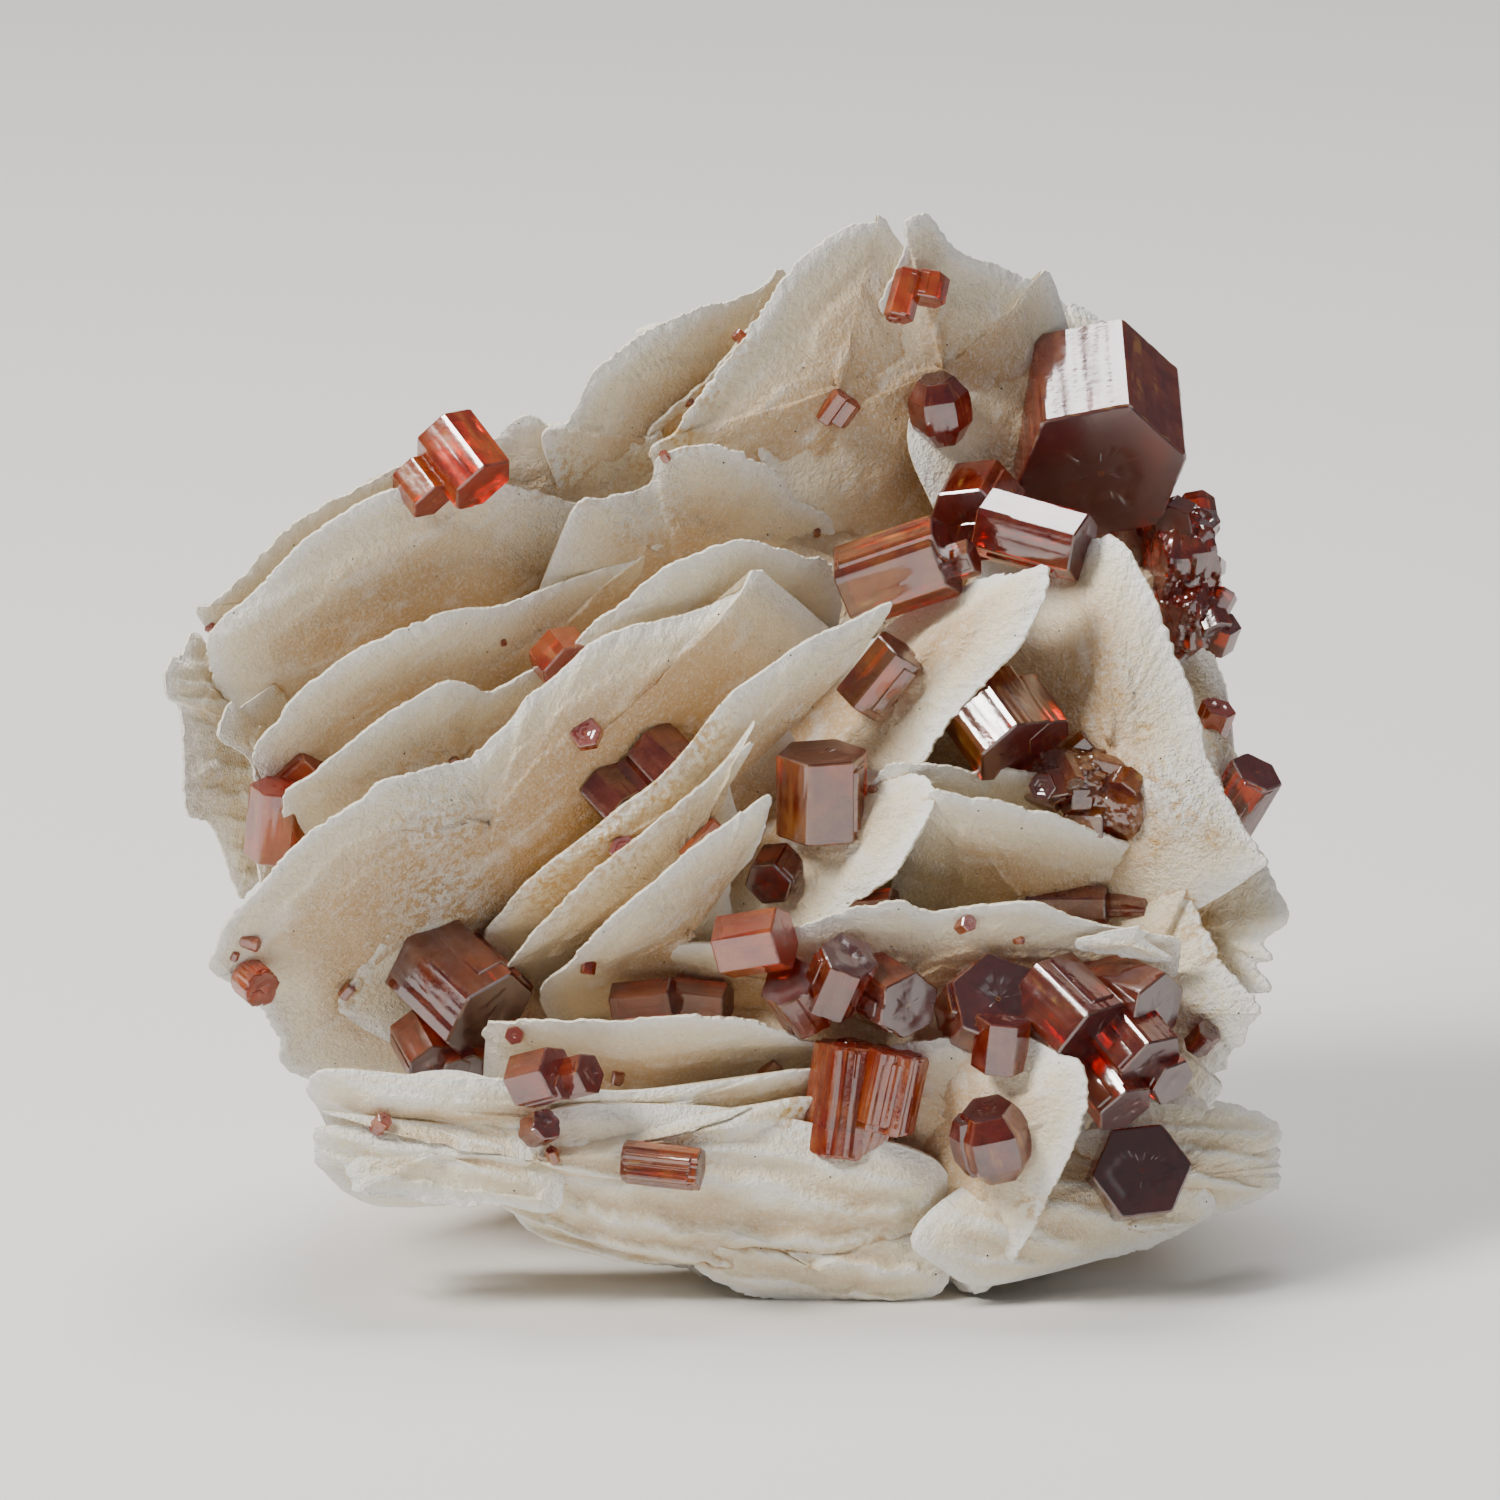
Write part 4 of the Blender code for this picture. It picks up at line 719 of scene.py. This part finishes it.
core = united("barite_core", [
    lump_surface(np.array(middle), np.array(half_sizes), 2000 + 10 * order)
    for order, (middle, half_sizes) in enumerate(LUMPS.values())])
finish_barite(core, 0)
back_blades = [back_blade_surface(np.array(values[0]), *values[1:], 3000 + 10 * order)
               for order, values in enumerate(BACK_BLADES.values())]
chance = np.random.default_rng(77)
for number in range(SMALL_BACK_BLADES):
    spot = chance.uniform((-10, 13.4, 11), (11.5, 15.4, 33))
    faces, leans = chance.uniform((45, -50), (135, -15))
    half_width, half_height = chance.uniform((3.5, 3), (5.5, 4.6))
    back_blades.append(back_blade_surface(spot, faces, leans, half_width, half_height, 1.2,
                                          3200 + 10 * number, 110, 11))
finish_barite(united("barite_back", back_blades), 10)


# Vanadinite crystals.
# Short six-sided prisms of red-brown lead vanadate, grown after the barite on its faces and in its
# gaps. Their sides are finely grooved along the length, and many are several prisms side by side.
# Each prism: its middle as seen from the front; the way that its length points, as right, up and
# near; its width and length in millimetres; the blade that it grows on and how far it stands out of
# it, or with no blade how near it is; its turn about its length in degrees; and, on a barrel, how
# far its ends draw in. A lump has its half sizes to the right, back and up.
def prism(at, axis, width, length, on=None, lift=0.0, turn=0.0, taper=1.0):
    return dict(at=at, axis=axis, width=width, length=length, on=on, lift=lift, turn=turn, taper=taper)


def lump(at, near, half_sizes):
    return dict(at=at, near=near, half_sizes=half_sizes)


CRYSTALS = {
    "upper_left": [
        prism((-12.8, 37.8), (0.55, -0.72, 0.4), 3.3, 3.3, "left_broad", -1.2),
        prism((-14.6, 36.6), (0.55, -0.72, 0.4), 2.4, 1.9, "left_broad", -1.2)],
    "summit_pair": [
        prism((6.9, 45.1), (-0.25, -0.9, 0.3), 1.4, 2.3, "summit_front", 0.5, 10),
        prism((8, 45.4), (-0.2, -0.9, 0.3), 1.7, 1.3, "summit_front", 0.5, 10)],
    "chips": [
        prism((3.7, 40.1), (0.55, 0.75, 0.3), 0.9, 1.6, "summit_left", 0.3),
        prism((4.2, 39.9), (0.55, 0.75, 0.3), 1, 1.3, "summit_left", 0.4)],
    "dark_barrel": [
        prism((8.5, 40), (-0.15, 0.9, 0.4), 2.9, 3.1, "summit_front", 1.2, 0, 0.55)],
    "largest": [
        prism((15.5, 39.1), (0.03, -0.6, 0.8), 8, 6.8, "summit_front", 3.6, 8)],
    "cluster": [
        prism((10.1, 35.5), (-0.25, -0.45, 0.85), 4, 3.2, None, -1.4),
        prism((12.7, 34.4), (0.9, -0.25, 0.35), 3.3, 4.8, None, 0.9)],
    "double_barrel": [
        prism((6.6, 32.8), (0.9, 0.3, 0.3), 4, 4.8, None, 1.9),
        prism((9.3, 33.2), (0.9, 0.3, 0.3), 1.8, 1.6, None, 1.7)],
    "slanting": [
        prism((5.8, 28.1), (0.6, 0.75, 0.25), 2.7, 3.2, "cross_blade", 1, 20)],
    "gold": [
        prism((11, 26), (0.5, -0.7, 0.5), 4.2, 3.6, None, 3.4),
        prism((12.6, 26.4), (0.5, -0.7, 0.5), 2.4, 3, None, 3),
        lump((14.2, 23.7), 2.6, (2.4, 1.7, 1.3)),
        lump((16.4, 22.3), 2.4, (2.1, 1.6, 1.8))],
    "upright": [
        prism((3.2, 22.9), (0, 0.95, 0.3), 4.2, 3.8, "cross_lower", 1.6, 12)],
    "small_dark": [
        prism((1.1, 19.3), (-0.3, -0.5, 0.8), 2.3, 2, "cross_lower", 0.6)],
    "twin_blocks": [
        prism((-6.1, 22.8), (0.6, -0.65, 0.35), 2.5, 2, "great_diagonal", 1.4, 12),
        prism((-5, 23.5), (0.6, -0.65, 0.35), 1.9, 1.8, "great_diagonal", 1.4, 12),
        prism((-3.8, 24.4), (0.6, -0.65, 0.35), 2.8, 2.2, "great_diagonal", 1.6, 12)],
    "plate_upper": [
        prism((-7.3, 25.5), (-0.1, 0.3, 0.95), 1.5, 0.7, "great_diagonal", 0.3)],
    "plate_lower": [
        prism((-5.6, 20.3), (-0.1, 0.3, 0.95), 1.4, 0.7, "stained_blade", 0.1)],
    "sliver": [
        prism((-2.2, 20.8), (0.7, 0.7, 0.1), 0.7, 2.2, "tongue_upper", 0.4)],
    "crescent": [
        prism((-8.4, 28.9), (0.5, -0.6, 0.6), 2.8, 1.5, "left_third", 0.1)],
    "left_lower": [
        prism((-21.1, 21.6), (0.1, 0.93, 0.35), 2.8, 3.4, "left_post_inner", 2.3),
        prism((-20.1, 23.6), (0.7, 0.6, 0.4), 2.2, 2.4, "left_post_inner", 2.2)],
    "tip": [
        prism((-22.1, 14.4), (0.5, -0.4, 0.75), 1.9, 1.4, "great_diagonal", -0.2)],
    "big_left": [
        prism((-13, 14.2), (0.62, -0.58, 0.52), 5, 4.6, "great_diagonal", 2.4, 15),
        prism((-14.6, 11.6), (0.4, -0.7, 0.6), 2.6, 2.4, "great_diagonal", 3.6),
        prism((-12.9, 11.4), (0.2, -0.8, 0.6), 2.6, 2.6, "great_diagonal", 4.2)],
    "flat_twin": [
        prism((-9.4, 10.2), (0.75, 0.2, 0.6), 2.6, 2.2, "foot_shelf", -0.4),
        prism((-7.8, 10.2), (0.75, 0.2, 0.6), 2, 1.8, "foot_shelf", -0.4)],
    "small_facets": [
        prism((-9.4, 7.9), (0.5, 0.3, 0.8), 1.6, 1.4, "white_tongue", -0.9)],
    "slab": [
        prism((-3.9, 6.3), (0.97, -0.1, 0.2), 2, 3.5, "white_tongue", 0.8)],
    "gap_pair": [
        prism((-4.7, 13.6), (0.95, 0.1, 0.3), 2, 2.8, "long_shelf", -0.1),
        prism((-2.3, 13.6), (0.95, -0.1, 0.3), 2, 2.8, "long_shelf", -0.4)],
    "shelf_block": [
        prism((0.2, 16.2), (0.9, 0.15, 0.4), 3, 3, "long_shelf", -0.15)],
    "striated_group": [
        prism((2.2, 13.7), (-0.4, 0.6, 0.7), 2.8, 2.6, "long_shelf", 2.6),
        prism((4, 14.6), (0.3, 0.7, 0.65), 2.8, 3, "long_shelf", 2.6),
        prism((6.3, 13.9), (0.5, -0.3, 0.8), 3.2, 3.2, "long_shelf", 2.6)],
    "rough_plate": [
        prism((4.1, 9.2), (0.12, 0.97, 0.1), 3.2, 5, "lilac_face", 0.1, 12),
        prism((6.2, 9.6), (0.2, 0.95, 0.15), 2.8, 3.6, "lilac_face", 0.2),
        prism((5.4, 8.6), (0.3, 0.9, 0.2), 2.4, 3.4, "lilac_face", 0.3, 20)],
    "shelf_small": [
        prism((5.3, 17.9), (0.9, 0.1, 0.4), 1.4, 2.6, None, 4.6)],
    "gap_right": [
        prism((14.2, 17.9), (0.97, 0, 0.2), 1.8, 3.6, "gallery_shelf", 0.8),
        prism((16.7, 17.9), (0.97, 0, 0.2), 1.4, 2.2, "gallery_shelf", 0.8),
        prism((15, 17), (0.9, 0, 0.4), 1.6, 2.2, "gallery_shelf", 1.2)],
    "lower_right": [
        prism((10.7, 13.2), (0.2, 0.3, 0.93), 4.4, 3.6, None, 5),
        prism((11.2, 11.7), (0.1, 0.95, 0.3), 2.5, 2.4, None, 6.8),
        prism((14.2, 13), (0.6, -0.6, 0.5), 4.4, 3.8, None, 5.6),
        prism((16.8, 13.8), (0.7, -0.3, 0.6), 3.6, 3.8, None, 4.6),
        prism((17, 11.8), (0.55, -0.65, 0.5), 3.6, 3.2, None, 5.6),
        prism((16, 9.8), (0.5, -0.7, 0.5), 3, 3, None, 5.4),
        prism((18.1, 10.6), (0.6, -0.5, 0.6), 2.4, 2.6, None, 4.6)],
    "glossy": [
        prism((10.9, 7.4), (-0.2, 0.85, 0.5), 3.8, 3.4, "lilac_face", 2.8, 0, 0.6)],
    "hexagon": [
        prism((17.3, 5.9), (0.1, 0.1, 0.99), 4.6, 3.2, "right_foot", 1.2, 22)],
    "stalk": [
        prism((13.9, 4.7), (0.95, 0.1, 0.3), 1.2, 2, None, 0.8)],
    "right_rim_red": [
        prism((20.7, 26), (0.3, 0.8, 0.5), 1.6, 1.8, "right_leaf", 0.6)],
    "right_rim_brown": [
        prism((21.9, 22.6), (0.4, 0.7, 0.5), 2.6, 3.4, "right_leaf", 0)],
    "right_dark": [
        prism((20.2, 11.9), (0.5, 0.6, 0.6), 1.3, 1.3, "right_ridge", -0.2)],
    "right_mass": [
        lump((19.2, 33.2), -6, (2, 2.2, 3.6)),
        lump((19.6, 30.9), -5.5, (1.9, 2, 2))],
    "back_upper": [
        prism((-5, 33), (-0.5, 0.5, -0.7), 3.6, 3.4, None, -15.6),
        prism((-3.2, 31.8), (-0.5, 0.5, -0.7), 2.4, 3, None, -15.8)],
    "back_right": [
        prism((9, 25.5), (0.3, 0.8, -0.5), 3, 4, None, -17)],
    "back_low": [
        prism((-4, 15.5), (-0.7, 0.2, -0.7), 3.2, 2.8, None, -17.6),
        prism((-2, 14.8), (-0.6, 0.5, -0.6), 2.4, 2.4, None, -17.6)],
}


def direction(right, up, near):
    """A direction seen from the front, turned into a unit direction in the frame."""
    sideways = np.array((1.0, 0.0, 0.0)) * right
    upwards = np.array((0.0, math.sin(VIEW_RISE), math.cos(VIEW_RISE))) * up
    closer = np.array((0.0, -math.cos(VIEW_RISE), math.sin(VIEW_RISE))) * near
    total = sideways + upwards + closer
    return total / np.linalg.norm(total)


def prism_place(crystal):
    """The middle of a prism in metres and three unit directions, the last along its length."""
    right, up = crystal["at"]
    near = crystal["lift"]
    if crystal["on"]:
        blade = BLADES[crystal["on"]]
        near += face_depth(blade, right, up) + blade["thick"] / 2
    length_way = direction(*crystal["axis"])
    side = np.cross((0.0, 1.0, 0.0), length_way)
    side /= np.linalg.norm(side)
    other = np.cross(length_way, side)
    turn = math.radians(crystal["turn"])
    first = side * math.cos(turn) + other * math.sin(turn)
    return front((right, up, near)), first, np.cross(length_way, first), length_way


# What the points of a cap carry, how far a worn corner reaches as a share of the radius, the
# height of a cap's terraces in millimetres, and the fewest points of a part that isn't a hollow.
CAP_VALUE = 2.0
CORNER_WEAR = 0.985
TERRACE = 0.03
FEWEST_POINTS = 80


def prism_surface(crystal, radius, length, shift, seed, wear=0.0):
    """A grooved six-sided prism: the radius in a direction is that of a hexagon with worn corners,
    less fine grooves that run along the length, with a narrow bevel at each end and small flat
    terraces on each cap. A tapered prism draws in to a smaller cap like a barrel, and a worn one
    is uneven all over. Its points carry streaks from 0 to 1 along the sides, and 2 on the caps."""
    around = 6 * int(np.clip(radius * 8, 6, 24))
    turn, ring = circle(around)
    within = np.mod(turn, np.pi / 3) - np.pi / 6
    hexagon = np.minimum(math.cos(np.pi / 6) / np.cos(within), CORNER_WEAR)
    ring *= 6
    bevel = 0.05 + 0.02 * radius
    along = np.linspace(-1, 1, 9)[:, None] * (length / 2 - bevel)
    rings = ring[None] + along[..., None] * np.array((0, 0, 0.12))
    grooves = np.abs(uneven(rings, 0.22, seed)) * 0.008 + np.abs(uneven(rings, 0.9, seed + 1)) * 0.012
    sides = radius * (hexagon - grooves)
    sides *= 1 + wear * waves(0, rings, seed, (1, 1.3, 7), (0.5, 0.45, 8))
    if crystal["taper"] < 1:
        reach = np.abs(along) / (length / 2)
        sides *= 1 - (1 - crystal["taper"]) * smooth_step((reach - 0.35) / 0.65) * 0.9

    def cap(end, outer):
        share = np.linspace(1, 0, around // 12 + 4)[:-1, None]
        cover = (outer - bevel) * share
        depth = np.full(cover.shape, end * 3.0)
        flat = np.stack([cover * np.cos(turn), cover * np.sin(turn), depth], axis=-1)
        level = waves(2.4 * (1 - share) ** 1.5, flat, seed, (0.9, 0.9, 3), (0.2, 0.3, 4))
        relief = -TERRACE * np.floor(np.maximum(level, 0)) * smooth_step((1 - share) / 0.12)
        relief += wear * radius * uneven(flat, 0.8, seed + 9) * smooth_step((1 - share) / 0.3)
        flat[..., 2] = end * (length / 2 + relief)
        return flat

    low, high = cap(-1, sides[0]), cap(1, sides[-1])
    wall = np.stack([sides * np.cos(turn), sides * np.sin(turn), along * np.ones(around)], axis=-1)
    rings = np.concatenate([low[::-1], wall, high])
    lines = ring / 6 * radius + along[..., None] * 0.07
    streak = waves(0.5, lines, seed, (0.45, 0.5, 5), (0.35, 0.17, 6))
    grain = np.concatenate([np.full(low.shape[:2], CAP_VALUE), np.clip(streak, 0, 1),
                            np.full(high.shape[:2], CAP_VALUE)])
    surface, faces, grain = closed_grid(rings, low[-1].mean(axis=0), high[-1].mean(axis=0), grain)
    middle, first, second, length_way = prism_place(crystal)
    surface = surface + np.array(shift)
    x, y, z = surface.T * MM
    solid = middle + np.outer(x, first) + np.outer(y, second) + np.outer(z, length_way)
    return solid, faces, grain


def crystal_surfaces(crystal, beside, seed, wear):
    """A prism with smaller prisms side by side on its faces, all with their lengths parallel; or a
    rough mass, as a crowd of small prisms that point every way."""
    chance = np.random.default_rng(seed)
    if "half_sizes" in crystal:
        return rough_mass(crystal, chance, seed)
    radius, length = crystal["width"] / 2, crystal["length"]
    surfaces = [prism_surface(crystal, radius, length, (0, 0, 0), seed, wear)]
    for number in range(beside):
        turn = math.radians(60 * chance.integers(0, 6) + 30)
        size = radius * chance.uniform(0.4, 0.58)
        out = radius * 0.866 - size * chance.uniform(0.70, 0.82)
        slide = chance.uniform(-0.7, 0.7) * (radius * 0.5)
        shift = (out * math.cos(turn) - slide * math.sin(turn), out * math.sin(turn) + slide * math.cos(turn),
                 chance.uniform(-0.05, 0.06) * length)
        surfaces.append(prism_surface(crystal, size, length * chance.uniform(0.7, 0.98), shift,
                                      seed + 10 * number + 5, wear))
    return surfaces


def rough_mass(crystal, chance, seed):
    """A core with sharp flat facets, and small prisms scattered over it."""
    middle = front((*crystal["at"], crystal["near"]))
    half_sizes = np.array(crystal["half_sizes"])

    def shape(unit, radius):
        radius = radius * waves(1, unit * 5, seed, (0.06, 0.8, 0), (0.012, 0.3, 1))
        return middle + unit * radius[..., None] * half_sizes * MM

    surfaces = [broken_ball(chance, 34, 0.72, 120, 60, shape, 0.5)]
    for number in range(10):
        way = chance.normal(size=3)
        way /= np.linalg.norm(way)
        spot = np.array((*crystal["at"], crystal["near"]))
        spot += way * half_sizes[[0, 2, 1]] * 0.8
        small = prism(tuple(spot[:2]), tuple(chance.normal(size=3)), chance.uniform(0.9, 2.0),
                      chance.uniform(0.9, 2.0), None, spot[2])
        surfaces.append(prism_surface(small, small["width"] / 2, small["length"], (0, 0, 0), seed + number))
    return surfaces


def vanadinite_material(name, cap, deep, lighter_tone_and_glow, painted_glint, clearness):
    """Vanadinite: deep red-brown with a strong gloss, a lighter orange that is partly its own tone and partly
    painted glow, painted golden glints along cracks, and light that goes through and is reddened on the way."""
    look = Look(name)
    cap, deep, lighter_tone_and_glow, painted_glint = ((*colour, 1) for colour in (cap, deep, lighter_tone_and_glow, painted_glint))
    streak = look.number("rim")
    patches = look.noise(1.4, 4)
    # Painted glints: golden colour where the streaks are strong and a finer noise is high.
    painted_glint_mask = look.combine("MULTIPLY", look.ramp(streak, 0.72, 0.95),
                          look.ramp(look.noise(0.8, 3), 0.50, 0.62))
    # Lighter orange in random patches and along the streaks: partly the crystal's own tone, partly painted
    # glow of light through it.
    side = look.blend(look.ramp(patches, 0.35, 0.68), deep, lighter_tone_and_glow)
    side = look.blend(look.ramp(streak, 0.45, 0.95, 0, 0.75), side, lighter_tone_and_glow)
    side = look.blend(painted_glint_mask, side, painted_glint)
    top = look.blend(look.ramp(patches, 0.45, 0.75, 0, 0.8), cap, deep)
    polish = look.combine("MULTIPLY", look.noise(0.7, 4), streak)
    look.put(look.nodes["Principled BSDF"], {
        "Base Color": look.blend(look.ramp(streak, 1.1, 1.5), side, top), "IOR": 2.3,
        "Transmission Weight": clearness, "Roughness": look.ramp(polish, 0.05, 0.75, 0.07, 0.26),
        "Normal": look.bump(look.noise(0.3, 5), 0.25, 0.03)})
    absorbed = look.add("VolumeAbsorption", "Volume", {"Color": (0.95, 0.32, 0.08, 1), "Density": 800.0})
    look.put(look.nodes["Material Output"], {"Volume": absorbed})
    return look.material


# The finishes: cap, deep body colour, lighter tone with painted glow, painted golden glint, and how clear
# each is.
MAROON = vanadinite_material("vanadinite_maroon", (0.16, 0.005, 0.004), (0.26, 0.020, 0.010),
                             (0.52, 0.11, 0.035), (0.90, 0.42, 0.07), 0.8)
ORANGE = vanadinite_material("vanadinite_orange", (0.50, 0.035, 0.01), (0.46, 0.045, 0.012),
                             (0.80, 0.20, 0.03), (0.92, 0.48, 0.10), 0.75)
GOLDEN = vanadinite_material("vanadinite_golden", (0.20, 0.012, 0.006), (0.28, 0.045, 0.01),
                             (0.60, 0.21, 0.025), (0.95, 0.65, 0.12), 0.8)
DARK = vanadinite_material("vanadinite_dark", (0.12, 0.003, 0.002), (0.17, 0.006, 0.004),
                           (0.42, 0.05, 0.015), (0.85, 0.30, 0.05), 0.8)
FINISHES = dict.fromkeys(("upper_left", "summit_pair", "chips", "plate_upper", "plate_lower", "sliver",
                          "crescent", "left_lower", "tip", "shelf_block", "right_rim_red",
                          "rough_plate"), ORANGE)
FINISHES |= dict.fromkeys(("double_barrel", "gold", "upright", "slanting", "slab"), GOLDEN)
FINISHES |= dict.fromkeys(("hexagon", "glossy", "dark_barrel", "small_dark", "stalk"), DARK)

# How many smaller prisms stand side by side with each one of a piece, where it isn't two.
BESIDE = {"largest": 1, "hexagon": 0, "dark_barrel": 0, "glossy": 1, "plate_upper": 0, "plate_lower": 0,
          "sliver": 0, "upright": 3, "big_left": 4, "rough_plate": 6, "slab": 6, "tip": 4, "stalk": 0,
          "double_barrel": 3, "lower_right": 3}

# Pieces with uneven, weathered faces, and how uneven they are as a share of their radius.
WORN = {"rough_plate": 0.16, "slab": 0.12, "gap_right": 0.06, "tip": 0.08, "small_facets": 0.06,
        "striated_group": 0.04, "stalk": 0.1}


def crystal_piece(name, surfaces, material):
    """One piece of vanadinite, joined from its prisms."""
    piece = united("fine_crystal_" + name, surfaces)
    drop_hollows(piece, FEWEST_POINTS)
    finish(piece, 16, material)
    return piece


for order, (name, members) in enumerate(CRYSTALS.items()):
    surfaces = []
    for number, member in enumerate(members):
        surfaces += crystal_surfaces(member, BESIDE.get(name, 2), 5000 + 100 * order + 17 * number,
                                     WORN.get(name, 0.0))
    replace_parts(crystal_piece(name, surfaces, FINISHES.get(name, MAROON)), "crystal_" + name)


# Crystal dust.
# The smallest vanadinite prisms, under a millimetre, scattered singly over the blades: where each
# one is, seen from the front, and its size.
DUST = [((-24, 30.2), 0.55), ((-0.4, 43.2), 0.6), ((-2.7, 40.3), 0.4), ((-3.8, 37.9), 0.45),
        ((-13.2, 24.3), 0.5), ((-22.3, 16.2), 0.7), ((-23, 15.6), 0.4), ((-10.5, 12.1), 0.9),
        ((-5.9, 10.2), 0.6), ((-8.8, 6.7), 0.6), ((-16.5, 8.1), 0.8), ((-7.2, 15.2), 0.7),
        ((9.6, 17), 0.8), ((0.9, 10.5), 0.8), ((5.5, 23), 0.4), ((-18, 14), 0.6),
        ((6.4, 27), 0.35), ((-11, 29.6), 0.3), ((12, 16.3), 0.4), ((3, 34.5), 0.35)]


def barite_nearness(right, up):
    """How near the barite is to the viewer along the line of sight through a place."""
    start, end = front((right, up, 30.0)), front((right, up, -20.0))
    pieces = [bpy.data.objects[name] for name in (*BARITE_PIECES, "barite_core")]
    places = [piece.ray_cast(start, end - start)[1] for piece in pieces]
    return max(seen_from_front(np.array(place))[2] for place in places if place.length > 0)


bpy.context.view_layer.update()
chance = np.random.default_rng(31)
dust = []
for number, (spot, size) in enumerate(DUST):
    lift = barite_nearness(*spot) + 0.15 * size
    speck = prism(spot, tuple(chance.normal(size=3)), size, size, None, lift)
    dust.append(prism_surface(speck, size / 2, size * 1.2, (0, 0, 0), 9000 + number))
crystal_piece("dust", dust, ORANGE)


# Floor, light and camera.
# A pale sheet to stand on; a bright light from the upper left, a large soft one above and behind the
# specimen and a weak one from the right; and the camera where the photograph was taken from.
floor_mesh = bpy.data.meshes.new("floor")
floor_mesh.from_pydata([(-2, -2, 0), (2, -2, 0), (2, 2, 0), (-2, 2, 0)], [], [(0, 1, 2, 3)])
paper = Look("pale_floor")
paper.put(paper.nodes["Principled BSDF"], {"Base Color": (0.80, 0.79, 0.77, 1), "Roughness": 0.9})
floor_mesh.materials.append(paper.material)
new_object("floor", floor_mesh)

world = bpy.data.worlds.new("studio")
bpy.context.scene.world = world
world.use_nodes = True
sky = world.node_tree.nodes["Background"]
sky.inputs["Color"].default_value = (0.94, 0.95, 1.0, 1)
sky.inputs["Strength"].default_value = 0.14

MIDDLE = front((0.0, VIEW_CENTRE_UP, 0.0))


def aim(item, place):
    """Puts a light or a camera at a place, facing the middle of the specimen."""
    item.location = place
    item.rotation_euler = Vector(MIDDLE - place).to_track_quat("-Z", "Y").to_euler()


# Each light is a square: its name, place in metres, side, power and colour.
for name, place, side, power, colour in (
        ("key", (-0.27, -0.17, 0.36), 0.15, 3.0, (1.0, 0.97, 0.92)),
        ("overhead", (-0.02, 0.15, 0.44), 0.24, 2.0, (1.0, 0.99, 0.98)),
        ("fill", (0.36, -0.34, 0.20), 0.30, 0.28, (0.95, 0.97, 1.0))):
    light = bpy.data.lights.new(name, "AREA")
    light.size = side
    light.energy = power
    light.color = colour
    aim(new_object(name, light), place)

# As wide as the photograph's field at the specimen.
FIELD_MM = 66.96
camera_data = bpy.data.cameras.new("camera")
camera_data.sensor_width = 36.0
camera_data.lens = camera_data.sensor_width * VIEW_DISTANCE / FIELD_MM
camera_data.clip_start = 0.01
camera = new_object("camera", camera_data)
aim(camera, MIDDLE + direction(0, 0, 1) * VIEW_DISTANCE * MM)
bpy.context.scene.camera = camera
